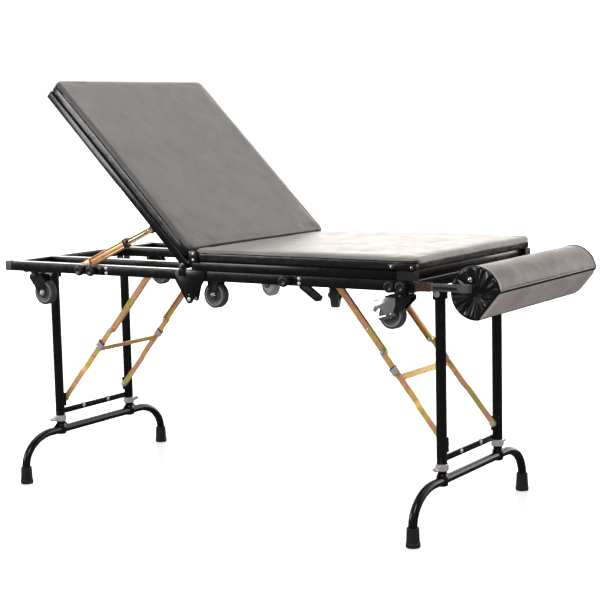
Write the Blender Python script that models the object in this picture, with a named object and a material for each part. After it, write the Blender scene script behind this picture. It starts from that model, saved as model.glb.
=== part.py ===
"""Folding treatment table: two hinged steel half-frames on fold-down leg sets,
a raised back section, a seat section, braces, casters and a leg bolster.

+X points to the leg end (bolster), -X to the head end, the near long side is at
-Y and the floor is z = 0.  Metres.  Everything is laid out from the fold line
(X = 0) and the table's middle (Y = 0); each finished piece is then moved by
OFFSET, which puts the model's origin under the near foot of the leg end.
"""
import math

import bmesh
import bpy
from mathutils import Matrix, Vector

for leftover in list(bpy.data.objects):
    bpy.data.objects.remove(leftover, do_unlink=True)

# ---------------------------------------------------------- shared dimensions
GAP = 0.0003                    # clearance between touching pieces
HALF_W = 0.3050                 # half width over the outer rails
TUBE = 0.0254                   # square rail tube
RAIL_Z0 = 0.5905                # underside of the rails
RAIL_Z1 = RAIL_Z0 + TUBE
RAIL_Z = RAIL_Z0 + TUBE / 2
RAIL_Y = HALF_W - TUBE / 2      # centre of the outer rails
INNER_Y = 0.1480                # centre of the inner rails and of the leg tubes
HEAD_X = -0.6300                # head end over the plastic caps
HEAD_RAIL_X = HEAD_X + 0.0080   # head end of the rails
FOOT_X = 0.6320                 # leg end of the rails
FOLD_Z = 0.5435                 # pivot of the two half-frames, at X = 0
FOLD_GAP = 0.0012               # rails stop this far from the fold line
MOUNT_Z0, MOUNT_Z1 = 0.5878, 0.5909     # caster mounting plates

BOLT_R, BOLT_HOLE_R = 0.0040, 0.0043
THIN_PIN_R = 0.0030             # back section and strut pins
BRACE_PIN_R, BRACE_HOLE_R = 0.0038, 0.0041

BACK_PIVOT_X, BACK_PIVOT_Z = -0.0180, 0.6240
STRUT_FOOT = Vector((-0.3720, -0.2705, 0.6095))     # pin on the near rail
STRUT_EYE = Vector((-0.1500, -0.2705, 0.7070))      # eye on the raised back

LEG_PIVOT_Z = 0.5700
FOOT_Y = 0.2915                 # feet of the leg sets, from the middle
# Leg sets: tube x, then brace knee, lower pivot and upper pivot as (x, z)
LEG_SETS = {
    "head": (-0.6008, (-0.4235, 0.4140), (-0.5985, 0.2085), (-0.2640, 0.5970)),
    "foot": (0.6148, (0.4435, 0.4140), (0.6125, 0.2085), (0.2945, 0.5970)),
}
OFFSET = Vector((-LEG_SETS["foot"][0], FOOT_Y, 0.0))

# Swivel casters: (x, y) of the swivel axis
SWIVELS = {
    "1": (-0.5380, -0.2740),
    "2": (-0.5450, 0.2250),
    "4": (-0.0290, 0.1100),
    "5": (0.5945, -0.2740),
    "6": (0.2330, 0.0054),
    "7": (0.5945, 0.2740),
}
RACEWAY_R = 0.0190
RACEWAY_Z0, RACEWAY_Z1 = 0.5831, 0.5882
FORK_TOP = 0.5827

# Knobs on the near rail: name, x, y of the knob's face towards the rail,
# y of the shaft end, y of the inner end of the hole in the frame
KNOB_Z = 0.6020
HEAD_KNOBS = [
    ("knob_head_1", -0.3510, -0.3096, -0.2990, -0.2980),
    ("knob_head_2", -0.3130, -0.3096, -0.2990, -0.2980),
]
FOOT_KNOBS = [
    ("knob_mid", 0.2910, -0.3106, -0.3000, -0.2990),
    ("knob_foot_1", 0.5770, -0.3091, -0.3035, -0.3030),
    ("knob_foot_2", 0.6060, -0.3091, -0.3035, -0.3030),
]

SEG = 14                        # sides of a round cylinder
HEX = 6                         # sides of a bolt head or nut
SIDES = ((-1, "near"), (1, "far"))

# Looks: base colour, metallic, roughness
LOOKS = {
    "black_paint": ((0.018, 0.018, 0.020), 0.0, 0.38),
    "vinyl": ((0.030, 0.030, 0.032), 0.0, 0.34),
    "board": ((0.022, 0.022, 0.024), 0.0, 0.50),
    "zinc": ((0.62, 0.46, 0.20), 1.0, 0.30),
    "chrome": ((0.80, 0.80, 0.82), 1.0, 0.12),
    "rubber": ((0.020, 0.020, 0.021), 0.0, 0.75),
    "wheel": ((0.10, 0.10, 0.11), 0.0, 0.55),
    "plastic": ((0.025, 0.025, 0.027), 0.0, 0.45),
    "grey_plastic": ((0.20, 0.20, 0.21), 0.0, 0.50),
    "pink_plastic": ((0.72, 0.38, 0.40), 0.0, 0.45),
}


def make_material(name, look):
    color, metallic, roughness = LOOKS[look]
    mat = bpy.data.materials.new(name)
    mat.use_nodes = True
    shader = mat.node_tree.nodes["Principled BSDF"]
    shader.inputs["Base Color"].default_value = (*color, 1.0)
    shader.inputs["Metallic"].default_value = metallic
    shader.inputs["Roughness"].default_value = roughness
    return mat


# ---------------------------------------------------------------- 2D outlines
def arc(centre_x, centre_y, radius, start, end, steps):
    """Points on an arc, angles in degrees, both ends included."""
    angles = [math.radians(start + (end - start) * i / steps) for i in range(steps + 1)]
    return [(centre_x + radius * math.cos(angle), centre_y + radius * math.sin(angle))
            for angle in angles]


def rounded_rect(x0, x1, y0, y1, radius, steps):
    return (arc(x1 - radius, y1 - radius, radius, 0, 90, steps)
            + arc(x0 + radius, y1 - radius, radius, 90, 180, steps)
            + arc(x0 + radius, y0 + radius, radius, 180, 270, steps)
            + arc(x1 - radius, y0 + radius, radius, 270, 360, steps))


def span(side, first, second):
    """Two distances taken to one side of zero, in rising order."""
    return sorted((side * first, side * second))


# --------------------------------------------------------------------- solids
def to_object(bm):
    bmesh.ops.recalc_face_normals(bm, faces=bm.faces[:])
    mesh = bpy.data.meshes.new("tmp")
    bm.to_mesh(mesh)
    bm.free()
    obj = bpy.data.objects.new("tmp", mesh)
    bpy.context.scene.collection.objects.link(obj)
    return obj


def box(x0, x1, y0, y1, z0, z1):
    centre = Vector(((x0 + x1) / 2, (y0 + y1) / 2, (z0 + z1) / 2))
    size = Vector((abs(x1 - x0), abs(y1 - y0), abs(z1 - z0)))
    bm = bmesh.new()
    bmesh.ops.create_cube(
        bm, size=1.0, matrix=Matrix.Translation(centre) @ Matrix.Diagonal(size.to_4d()))
    return to_object(bm)


def rail_bar(x0, x1, y, half):
    """Square bar along X at rail height, 2 * half across."""
    return box(x0, x1, y - half, y + half, RAIL_Z - half, RAIL_Z + half)


def axes_of(axis):
    """Two unit normals of an axis, and the unit axis itself."""
    axis = Vector(axis).normalized()
    helper = Vector((0, 0, 1)) if abs(axis.z) < 0.9 else Vector((1, 0, 0))
    normal = helper.cross(axis).normalized()
    return normal, axis.cross(normal), axis


def add_ring(bm, points):
    verts = [bm.verts.new(point) for point in points]
    count = len(verts)
    edges = [bm.edges.new((verts[i], verts[(i + 1) % count])) for i in range(count)]
    return verts, edges


def loft(rings):
    """Closed solid through rings of equal count, capped at both ends."""
    bm = bmesh.new()
    loops = [add_ring(bm, ring)[0] for ring in rings]
    count = len(loops[0])
    for lower, upper in zip(loops, loops[1:]):
        for i in range(count):
            j = (i + 1) % count
            bm.faces.new((lower[i], lower[j], upper[j], upper[i]))
    bm.faces.new(loops[0][::-1])
    bm.faces.new(loops[-1])
    return to_object(bm)


def cylinder(start, end, radius, segments=SEG):
    start, end = Vector(start), Vector(end)
    length = (end - start).length
    turn = Matrix(axes_of(end - start)).transposed().to_4x4()
    bm = bmesh.new()
    bmesh.ops.create_cone(
        bm, cap_ends=True, segments=segments, radius1=radius, radius2=radius, depth=length,
        matrix=Matrix.Translation((start + end) / 2) @ turn)
    return to_object(bm)


def pin(x, z, y0, y1, radius, segments=SEG):
    """Cylinder along Y."""
    return cylinder((x, y0, z), (x, y1, z), radius, segments)


def post(x, y, z0, z1, radius):
    """Cylinder along Z."""
    return cylinder((x, y, z0), (x, y, z1), radius)


def lathe(profile, origin, axis, steps):
    """Closed profile loop of (radius, height) points spun about an axis."""
    origin = Vector(origin)
    normal, _, axis = axes_of(axis)
    bm = bmesh.new()
    verts, edges = add_ring(
        bm, [origin + axis * height + normal * radius for radius, height in profile])
    bmesh.ops.spin(bm, geom=verts + edges, cent=origin, axis=axis,
                   angle=2 * math.pi, steps=steps, use_merge=True)
    bmesh.ops.remove_doubles(bm, verts=bm.verts[:], dist=0.00001)
    return to_object(bm)


def prism_y(outline, y0, y1):
    """Outline in (x, z), extruded along Y."""
    bm = bmesh.new()
    face = bm.faces.new([bm.verts.new((x, y0, z)) for x, z in outline])
    extruded = bmesh.ops.extrude_face_region(bm, geom=[face])["geom"]
    bmesh.ops.translate(bm, vec=(0, y1 - y0, 0),
                        verts=[item for item in extruded if isinstance(item, bmesh.types.BMVert)])
    return to_object(bm)


def prism(outline, origin, along, up, low, high):
    """Outline in the plane (along, up), extruded along their cross product."""
    along, up = Vector(along).normalized(), Vector(up).normalized()
    normal = along.cross(up)
    return loft([[origin + along * a + up * b + normal * depth for a, b in outline]
                 for depth in (low, high)])


def sweep(path, radius, segments=12):
    """Round bar along a path, its section carried on without twist."""
    path = [Vector(point) for point in path]
    last = len(path) - 1
    rings = []
    reference = axes_of(path[1] - path[0])[0]
    for i, point in enumerate(path):
        tangent = (path[min(i + 1, last)] - path[max(i - 1, 0)]).normalized()
        reference = (reference - tangent * reference.dot(tangent)).normalized()
        binormal = tangent.cross(reference)
        angles = [2 * math.pi * k / segments for k in range(segments)]
        rings.append([point + reference * (radius * math.cos(angle))
                      + binormal * (radius * math.sin(angle)) for angle in angles])
    return loft(rings)


def pad(x0, x1, z0, z1, corner, edge):
    """Full-width upholstered pad with rounded plan corners and edges."""
    steps = 3
    bottom_edge = edge * 0.45
    angles = [math.radians(90.0 * i / steps) for i in range(steps + 1)]
    # (inset, z) of each level
    levels = [(bottom_edge * (1 - math.sin(angle)), z0 + bottom_edge * (1 - math.cos(angle)))
              for angle in angles]
    levels += [(edge * (1 - math.cos(angle)), z1 - edge + edge * math.sin(angle))
               for angle in angles]
    rings = []
    for inset, z in levels:
        outline = rounded_rect(x0 + inset, x1 - inset, -HALF_W + inset, HALF_W - inset,
                               max(corner - inset, 0.004), steps)
        rings.append([Vector((x, y, z)) for x, y in outline])
    return loft(rings)


# --------------------------------------------------------- booleans and pieces
def merge(base, others, operation):
    """Apply the others to the base one at a time, and remove them."""
    for other in others:
        modifier = base.modifiers.new("b", "BOOLEAN")
        modifier.operation = operation
        modifier.solver = "EXACT"
        modifier.object = other
        bpy.context.view_layer.update()
        depsgraph = bpy.context.evaluated_depsgraph_get()
        result = bpy.data.meshes.new_from_object(base.evaluated_get(depsgraph))
        base.modifiers.clear()
        old = base.data
        base.data = result
        bpy.data.meshes.remove(old)
        bpy.data.objects.remove(other, do_unlink=True)
    return base


def piece(name, look, origin, adds, cuts=(), sharp=35.0, turn=None):
    """Join adds, subtract cuts, optionally turn, then name, place and finish."""
    obj = merge(adds[0], adds[1:], "UNION")
    merge(obj, cuts, "DIFFERENCE")
    mesh = obj.data
    if turn is not None:
        mesh.transform(turn)
    bm = bmesh.new()
    bm.from_mesh(mesh)
    bmesh.ops.remove_doubles(bm, verts=bm.verts[:], dist=0.00001)
    bmesh.ops.recalc_face_normals(bm, faces=bm.faces[:])
    bm.to_mesh(mesh)
    bm.free()
    origin = Vector(origin)
    mesh.transform(Matrix.Translation(-origin))
    obj.location = origin + OFFSET
    obj.name = name
    mesh.name = name
    mesh.materials.clear()
    mesh.materials.append(make_material("mat_" + name, look))
    mesh.polygons.foreach_set("use_smooth", [True] * len(mesh.polygons))
    mesh.set_sharp_from_angle(angle=math.radians(sharp))
    mesh.update()


# ---------------------------------------------------------------- half-frames
CROSS_END_Y = 0.2960            # ends of the cross tubes, inside the outer rails


def rails(x0, x1, inner_x0, inner_x1):
    """Two outer and two slightly lower-profile inner rails."""
    inset = 0.0002
    parts = [box(x0, x1, -HALF_W, -HALF_W + TUBE, RAIL_Z0, RAIL_Z1),
             box(x0, x1, HALF_W - TUBE, HALF_W, RAIL_Z0, RAIL_Z1)]
    for y in (-INNER_Y, INNER_Y):
        parts.append(box(inner_x0, inner_x1, y - TUBE / 2, y + TUBE / 2,
                         RAIL_Z0 + inset, RAIL_Z1 - inset))
    return parts


def cross_tube(x0, x1, near_y):
    inset = 0.0004
    return box(x0, x1, near_y, CROSS_END_Y, RAIL_Z0 + inset, RAIL_Z1 - inset)


def leg_brackets(x):
    """Cheek pairs either side of each leg tube, and their pivot holes."""
    adds, cuts = [], []
    for side in (-1, 1):
        for cheek in (-1, 1):
            y = side * INNER_Y + cheek * 0.0150
            adds.append(box(x - 0.0115, x + 0.0115, y - 0.0015, y + 0.0015, 0.5560, 0.5930))
            cuts.append(pin(x, LEG_PIVOT_Z, y - 0.004, y + 0.004, BOLT_HOLE_R))
    return adds, cuts


def brace_lugs(x, z):
    """Lug, pin and hex nut for the top of each upper brace arm."""
    parts = []
    for side in (-1, 1):
        parts += [
            box(x - 0.0120, x + 0.0120, side * 0.1365, side * 0.1207, z - 0.0090, z + 0.0110),
            pin(x, z, side * 0.1220, side * 0.1075, BRACE_PIN_R),
            pin(x, z, side * 0.1100, side * 0.1066, 0.0070, HEX),
        ]
    return parts


def raceway(tag):
    return post(*SWIVELS[tag], RACEWAY_Z0, RACEWAY_Z1, RACEWAY_R)


def mount_plate(tag, half_x=0.0300, half_y=0.0260):
    x, y = SWIVELS[tag]
    return [box(x - half_x, x + half_x, y - half_y, y + half_y, MOUNT_Z0, MOUNT_Z1),
            raceway(tag)]


def knob_holes(knobs):
    return [pin(x, KNOB_Z, -0.3200, hole_end, BOLT_HOLE_R) for _, x, _, _, hole_end in knobs]


def foot_frame():
    x0 = FOLD_GAP
    leg_x, _, _, brace_top = LEG_SETS["foot"]
    brackets, bracket_holes = leg_brackets(leg_x)
    near_y = -0.2806
    adds = rails(x0, FOOT_X, x0 + 0.010, 0.6200)
    adds += [
        cross_tube(x0 + 0.001, x0 + TUBE, near_y),
        cross_tube(0.2203, 0.2203 + TUBE, near_y),
        cross_tube(0.6030, 0.6030 + TUBE, near_y),
    ]
    adds += brackets + brace_lugs(*brace_top)
    for tag in ("5", "7", "6"):
        adds += mount_plate(tag)
    # fold plates on the inner faces of the outer rails, with pivot bolts
    plate = ([(0.0240, 0.6100), (0.0040, 0.6100), (0.0020, 0.5880)]
             + arc(0.0, FOLD_Z, 0.0105, 180, 337, 5) + [(0.0235, 0.5880)])
    rail_face = HALF_W - TUBE
    for side in (-1, 1):
        adds += [
            prism_y(plate, *span(side, rail_face + 0.0006, rail_face - 0.0028)),
            pin(0, FOLD_Z, side * 0.2775, side * 0.3105, BOLT_R),
            pin(0, FOLD_Z, side * 0.3090, side * 0.3130, 0.0072, HEX),
        ]
    # knob blocks on the outer face of the near rail, angled lug below the rail
    lug = [(0.3180, 0.5925), (0.3420, 0.5925), (0.3800, 0.5660),
           (0.3740, 0.5560), (0.3640, 0.5550), (0.3200, 0.5840)]
    adds += [
        box(0.2790, 0.3030, -0.3100, -0.3040, 0.5935, 0.6120),
        box(0.5680, 0.6150, -0.3085, -0.3040, 0.5915, 0.6120),
        prism_y(lug, -0.2960, -0.2840),
    ]
    # the near rail is hollow where it takes the bolster socket
    cuts = bracket_holes + [rail_bar(0.4400, FOOT_X + 0.01, -RAIL_Y, 0.0105)]
    cuts += knob_holes(FOOT_KNOBS)
    piece("foot_frame", "black_paint", (0.0, 0.0, FOLD_Z), adds, cuts)


def head_frame():
    x1 = -FOLD_GAP
    leg_x, _, _, brace_top = LEG_SETS["head"]
    brackets, bracket_holes = leg_brackets(leg_x)
    adds = rails(HEAD_RAIL_X, x1, -0.6120, x1 - 0.004)
    adds += [cross_tube(-0.6215, -0.6215 + TUBE, -CROSS_END_Y),
             cross_tube(-0.0417, -0.0417 + TUBE, -CROSS_END_Y)]
    adds += brackets + brace_lugs(*brace_top)
    adds += mount_plate("1")
    adds += [
        box(-0.5200, -0.4580, -0.3000, -0.2480, 0.5882, MOUNT_Z1),
        box(-0.5950, -0.4950, 0.1500, 0.2900, MOUNT_Z0, MOUNT_Z1),
        raceway("2"),
    ]
    adds += mount_plate("4", half_x=0.0280)
    fold_plate = ([(0.0540, 0.6155), (-0.0480, 0.6155), (-0.0430, RAIL_Z0)]
                  + arc(0.0, FOLD_Z, 0.0110, 203, 337, 5) + [(0.0470, RAIL_Z0)])
    hinge_lug = ([(-0.0320, 0.6000), (-0.0060, 0.6000), (-0.0070, BACK_PIVOT_Z)]
                 + arc(BACK_PIVOT_X, BACK_PIVOT_Z, 0.0095, 0, 180, 8)
                 + [(-0.0290, BACK_PIVOT_Z)])
    for side in (-1, 1):
        adds += [
            prism_y(fold_plate, *span(side, 0.3053, 0.3085)),
            box(-0.0450, -0.0040, side * 0.3040, side * 0.3062, 0.5940, 0.6130),
            prism_y(hinge_lug, *span(side, 0.3086, 0.3048)),
            pin(BACK_PIVOT_X, BACK_PIVOT_Z, side * 0.3060, side * 0.2860, THIN_PIN_R),
        ]
    # strut pin and nut on the inner face of the near rail, knob block outside
    strut_x, strut_z = STRUT_FOOT.x, STRUT_FOOT.z
    adds += [
        pin(strut_x, strut_z, -0.2810, -0.2605, THIN_PIN_R),
        pin(strut_x, strut_z, -0.2618, -0.2585, 0.0056, HEX),
        box(-0.3640, -0.2820, -0.3090, -0.3040, 0.5935, 0.6120),
    ]
    cuts = bracket_holes + [
        pin(0, FOLD_Z, -0.3140, -0.3000, BOLT_HOLE_R),
        pin(0, FOLD_Z, 0.3140, 0.3000, BOLT_HOLE_R),
    ]
    cuts += knob_holes(HEAD_KNOBS)
    # sockets for the plugs of the end caps
    cuts += [rail_bar(HEAD_X, -0.5980, y, 0.0095) for y in (-RAIL_Y, RAIL_Y)]
    piece("head_frame", "black_paint", (0.0, 0.0, FOLD_Z), adds, cuts)


def head_cap(side, label):
    """Plastic rail end cap with its plug."""
    piece("cap_head_" + label, "grey_plastic", (HEAD_X, side * RAIL_Y, RAIL_Z), [
        box(HEAD_X, HEAD_RAIL_X - GAP, side * (HALF_W - TUBE), side * HALF_W, RAIL_Z0, RAIL_Z1),
        rail_bar(HEAD_X + 0.004, HEAD_X + 0.0300, side * RAIL_Y, 0.0092),
    ])


# --------------------------------------------------------------- seat section
BOARD_HALF_W = 0.3030           # seat and back boards
SEAT_Z0, SEAT_Z1 = 0.6162, 0.6377       # seat board
SEAT_PAD_Z1 = 0.6700
SEAT_PAD_X0, SEAT_PAD_X1 = 0.0128, 0.6376
TONGUE_X0, TONGUE_X1 = 0.5800, 0.6240   # narrower leg end of the board


def seat_board():
    adds = [
        box(0.0060, 0.5915, -BOARD_HALF_W, BOARD_HALF_W, SEAT_Z0, SEAT_Z1),
        box(TONGUE_X0, TONGUE_X1, -0.2780, 0.2780, SEAT_Z0 + 0.0002, SEAT_Z1 - 0.0002),
        # stubs that enter the corner caps
        box(TONGUE_X0, TONGUE_X1, -0.2950, -0.2845, 0.6215, 0.6325),
        box(TONGUE_X0, TONGUE_X1, 0.2845, 0.2950, 0.6215, 0.6325),
        # angle plate at the near corner by the fold
        box(0.0080, 0.0290, -0.3085, -0.3000, 0.6342, 0.6376),
        box(0.0030, 0.0290, -0.3086, -0.3056, 0.6344, 0.6640),
    ]
    piece("seat_board", "board", (0.31, 0, SEAT_Z0), adds)


def seat_cap(side, label):
    """Plastic corner cap at the leg end of the seat board."""
    piece("cap_foot_" + label, "plastic", (0.6120, side * 0.2930, 0.6270),
          [box(0.5918, 0.6330, side * 0.2785, side * 0.3075, SEAT_Z0, SEAT_Z1)],
          [box(0.5900, 0.6245, side * 0.2840, side * 0.2955, 0.6210, 0.6330)])


def seat_cushion():
    cushion = pad(SEAT_PAD_X0, SEAT_PAD_X1, SEAT_Z1 + GAP, SEAT_PAD_Z1,
                  corner=0.020, edge=0.010)
    piece("seat_cushion", "vinyl", (0.325, 0, SEAT_Z1), [cushion], sharp=40)


# --------------------------------------------- back section, modelled lying flat
BACK_ANGLE = 45.0
BACK_LEN = 0.6040
BACK_X1 = BACK_PIVOT_X - 0.0114
BACK_X0 = BACK_X1 - BACK_LEN
BACK_Z0, BACK_Z1 = 0.6193, 0.6393       # back board
BACK_PAD_Z1 = 0.6778
BACK_ORIGIN = (BACK_PIVOT_X, 0, BACK_PIVOT_Z)


def about_back_pivot(degrees):
    pivot = Vector(BACK_ORIGIN)
    return (Matrix.Translation(pivot) @ Matrix.Rotation(math.radians(degrees), 4, "Y")
            @ Matrix.Translation(-pivot))


def back_board():
    eye = about_back_pivot(-BACK_ANGLE) @ STRUT_EYE
    strut_lug = ([(eye.x - 0.022, BACK_Z0 + 0.001), (eye.x + 0.022, BACK_Z0 + 0.001)]
                 + arc(eye.x, eye.z, 0.0085, 20, -200, 8))
    adds = [
        box(BACK_X0 + 0.0060, BACK_PIVOT_X + 0.0058, -BOARD_HALF_W, BOARD_HALF_W,
            BACK_Z0, BACK_Z1),
        prism_y(strut_lug, -0.2640, -0.2610),
    ]
    cuts = [pin(BACK_PIVOT_X, BACK_PIVOT_Z, side * 0.3100, side * 0.2840, 0.0033)
            for side in (-1, 1)]
    piece("backrest_board", "board", BACK_ORIGIN, adds, cuts, turn=about_back_pivot(BACK_ANGLE))


def back_cushion():
    cushion = pad(BACK_X0, BACK_X1, BACK_Z1 + GAP, BACK_PAD_Z1, corner=0.020, edge=0.012)
    piece("backrest_cushion", "vinyl", BACK_ORIGIN, [cushion], sharp=40,
          turn=about_back_pivot(BACK_ANGLE))


# ----------------------------------------------------------------- back strut
CHANNEL_LEN = 0.1640
CHANNEL_HALF_H = 0.0088
ROD_START = 0.0625              # inner end of the rod, from the strut foot
ROD_HALF_H = 0.0066


def strut():
    """Slotted channel pinned to the rail, and the flat rod sliding in it."""
    line = STRUT_EYE - STRUT_FOOT
    length = line.length
    along = line.normalized()
    up = along.cross(Vector((0, 1, 0)))

    def bar(outline, half_width):
        return prism(outline, STRUT_FOOT, along, up, -half_width, half_width)

    def pin_hole(point, radius):
        return pin(point.x, point.z, point.y - 0.01, point.y + 0.01, radius)

    channel = (arc(0, 0, CHANNEL_HALF_H, 90, 270, 10)
               + [(CHANNEL_LEN, -CHANNEL_HALF_H), (CHANNEL_LEN, CHANNEL_HALF_H)])
    slot_x0, slot_x1, slot_half_h = 0.0200, CHANNEL_LEN + 0.01, 0.0070
    slot = [(slot_x0, -slot_half_h), (slot_x1, -slot_half_h),
            (slot_x1, slot_half_h), (slot_x0, slot_half_h)]
    piece("strut_channel", "zinc", STRUT_FOOT, [bar(channel, 0.0080)],
          [bar(slot, 0.0055), pin_hole(STRUT_FOOT, 0.0033)])
    neck = length - 0.0040
    rod = ([(ROD_START, -ROD_HALF_H), (neck, -ROD_HALF_H)]
           + arc(length, 0, 0.0074, -100, 100, 8)
           + [(neck, ROD_HALF_H), (ROD_START, ROD_HALF_H)])
    piece("strut_rod", "zinc", STRUT_EYE, [bar(rod, 0.0052)], [pin_hole(STRUT_EYE, 0.0031)])


# ------------------------------------------------------------------- leg sets
LEG_OUTER_R, LEG_BORE_R, LEG_INNER_R = 0.0127, 0.0111, 0.0108
LEG_Z0 = 0.1460                 # bottom of the outer tubes
BAR_Z, BAR_R = 0.1240, 0.0110   # foot bar
BEND_Y, BEND_Z = 0.1900, 0.0460         # centre of each foot bar bend
CROSS_STRIP_Z = 0.1750
CLAMP_Z = 0.1570
# Rubber foot: (radius, z) levels
FERRULE_LEVELS = [(0.0160, 0.0), (0.0175, 0.0020), (0.0175, 0.0100), (0.0150, 0.0460)]
# Clamp ring section: (radius, z)
CLAMP_RING = [(0.0130, 0.1490), (0.0160, 0.1490), (0.0160, 0.1650), (0.0130, 0.1650)]


def leg_upper(tag, leg_x, lower):
    """Two bored outer tubes with pivot bolts, joined by a flat cross strip."""
    adds, cuts = [], []
    for side in (-1, 1):
        y = side * INNER_Y
        adds += [
            post(leg_x, y, LEG_Z0, LEG_PIVOT_Z + 0.0010, LEG_OUTER_R),
            pin(leg_x, LEG_PIVOT_Z, y - 0.0128, y + 0.0128, LEG_OUTER_R - 0.0002),
            pin(leg_x, LEG_PIVOT_Z, y - 0.0190, y + 0.0190, BOLT_R),
        ]
        for end in (-1, 1):
            adds.append(pin(leg_x, LEG_PIVOT_Z, y + end * 0.0168, y + end * 0.0200, 0.0068, HEX))
        # lug, pin and nut for the lower end of the brace
        adds += [
            box(leg_x - 0.0110, leg_x + 0.0110, side * 0.1366, side * 0.1322, 0.1900, 0.2270),
            pin(*lower, side * 0.1330, side * 0.1190, BRACE_PIN_R),
            pin(*lower, side * 0.1212, side * 0.1172, 0.0066, HEX),
        ]
        cuts.append(post(leg_x, y, LEG_Z0 - 0.005, 0.4520, LEG_BORE_R))
    adds.append(box(leg_x - 0.0020, leg_x + 0.0020, -0.1366, 0.1366,
                    CROSS_STRIP_Z - 0.0080, CROSS_STRIP_Z + 0.0080))
    for y in (-0.052, 0.052):
        adds.append(cylinder((leg_x - 0.0050, y, CROSS_STRIP_Z),
                             (leg_x + 0.0050, y, CROSS_STRIP_Z), 0.0050, HEX))
    piece(tag + "_leg_upper", "black_paint", (leg_x, 0, LEG_PIVOT_Z), adds, cuts)


def leg_lower(tag, leg_x):
    """Two sliding inner tubes on a foot bar bent down at both ends."""
    near_half = [(leg_x, -FOOT_Y, 0.0060), (leg_x, -FOOT_Y, 0.0300)]
    for i in range(6):
        angle = math.radians(90 - 90 * i / 5.0)
        near_half.append((leg_x, -(BEND_Y + (FOOT_Y - BEND_Y) * math.sin(angle)),
                          BEND_Z + (BAR_Z - BEND_Z) * math.cos(angle)))
    path = near_half + [(x, -y, z) for x, y, z in near_half[::-1]]
    adds = [sweep(path, BAR_R)]
    for side in (-1, 1):
        y = side * INNER_Y
        adds += [post(leg_x, y, BAR_Z, 0.4300, LEG_INNER_R),
                 post(leg_x, y, BAR_Z - 0.0125, 0.1400, 0.0142)]
    piece(tag + "_leg_lower", "black_paint", (leg_x, 0, BAR_Z), adds)


def ferrule(name, x, y):
    """Tapered rubber foot, bored from above for the end of the bar."""
    sides = 16
    angles = [2 * math.pi * i / sides for i in range(sides)]
    centre = Vector((x, y, 0.0))
    normal, binormal, up = axes_of((0, 0, 1))
    solid = loft([[centre + up * z
                   + (normal * math.cos(angle) + binormal * math.sin(angle)) * radius
                   for angle in angles] for radius, z in FERRULE_LEVELS])
    piece(name, "rubber", centre, [solid], [post(x, y, 0.0050, 0.0600, 0.0114)])


def clamp(name, x, side):
    """Ring round the leg with an ear, a screw and a wing on its outer side."""
    y = side * INNER_Y
    piece(name, "chrome", (x, y, CLAMP_Z), [
        lathe(CLAMP_RING, (x, y, 0), (0, 0, 1), 16),
        box(x - 0.0045, x + 0.0045, y + side * 0.0150, y + side * 0.0260, 0.1510, 0.1630),
        pin(x, CLAMP_Z, y + side * 0.0240, y + side * 0.0370, 0.0030, 12),
        box(x - 0.0110, x + 0.0110, y + side * 0.0340, y + side * 0.0420, 0.1540, 0.1600),
    ])


def arm_axes(start, end):
    """Direction, normal and length of the line between two (x, z) pivots."""
    along = Vector((end[0] - start[0], 0, end[1] - start[1]))
    length = along.length
    along.normalize()
    return along, Vector((-along.z, 0, along.x)), length


def pressed_arm(start, end, y_open, y_web, radius):
    """Channel arm between two pivots: the solid, and the hollow to cut from it."""
    along, normal, length = arm_axes(start, end)
    base = Vector((start[0], 0, start[1]))
    towards_open = 1 if y_open > y_web else -1

    def solid(end_radius, *y_values):
        outline = (arc(0, 0, end_radius, 90, 270, 4)
                   + arc(length, 0, end_radius, -90, 90, 4))
        points = [base + along * a + normal * b for a, b in outline]
        return loft([[Vector((point.x, y, point.z)) for point in points] for y in y_values])

    return (solid(radius, y_web, y_open),
            solid(radius - 0.0018, y_web + towards_open * 0.0026,
                  y_open + towards_open * 0.003))


def brace_lower(tag, knee, lower):
    """Two arms from the leg to the knee, joined by a flat cross link."""
    along, normal, _ = arm_axes(lower, knee)
    arms, cuts = [], []
    for side in (-1, 1):
        solid, hollow = pressed_arm(lower, knee, side * 0.1220, side * 0.1310, 0.0080)
        arms.append(merge(solid, [hollow], "DIFFERENCE"))
        cuts.append(pin(*lower, side * 0.1200, side * 0.1330, BRACE_HOLE_R))
    centre = Vector((knee[0], 0, knee[1])) - along * 0.0740
    section = [centre + along * a + normal * b
               for a, b in ((0.008, 0.0015), (-0.008, 0.0015),
                            (-0.008, -0.0015), (0.008, -0.0015))]
    link = loft([[Vector((point.x, y, point.z)) for point in section]
                 for y in (-0.1295, 0.1295)])
    piece(tag + "_brace_lower", "zinc", (lower[0], 0, lower[1]), [arms[0], link, arms[1]], cuts)


def brace_upper(name, side, knee, upper):
    solid, hollow = pressed_arm(knee, upper, side * 0.1105, side * 0.1202, 0.0078)
    holes = [pin(*upper, side * 0.1300, side * 0.1000, BRACE_HOLE_R),
             pin(*knee, side * 0.1300, side * 0.1000, 0.0030)]
    piece(name, "zinc", (upper[0], side * 0.1155, upper[1]), [solid], [hollow] + holes)


def sleeve(name, side, knee, lower):
    """Square sleeve around the lower brace arm, near the knee."""
    along, normal, _ = arm_axes(lower, knee)
    centre = Vector((knee[0], 0, knee[1])) - along * 0.0540

    def block(half_length, half_height, y0, y1):
        corners = ((y0, -half_height), (y1, -half_height), (y1, half_height), (y0, half_height))
        return loft([[centre + along * a + normal * b + Vector((0, y, 0)) for y, b in corners]
                     for a in (-half_length, half_length)])

    piece(name, "chrome", (centre.x, side * 0.1267, centre.z),
          [block(0.0100, 0.0100, side * 0.1207, side * 0.1328)],
          [block(0.0200, 0.0083, side * 0.1217, side * 0.1313)])


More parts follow.
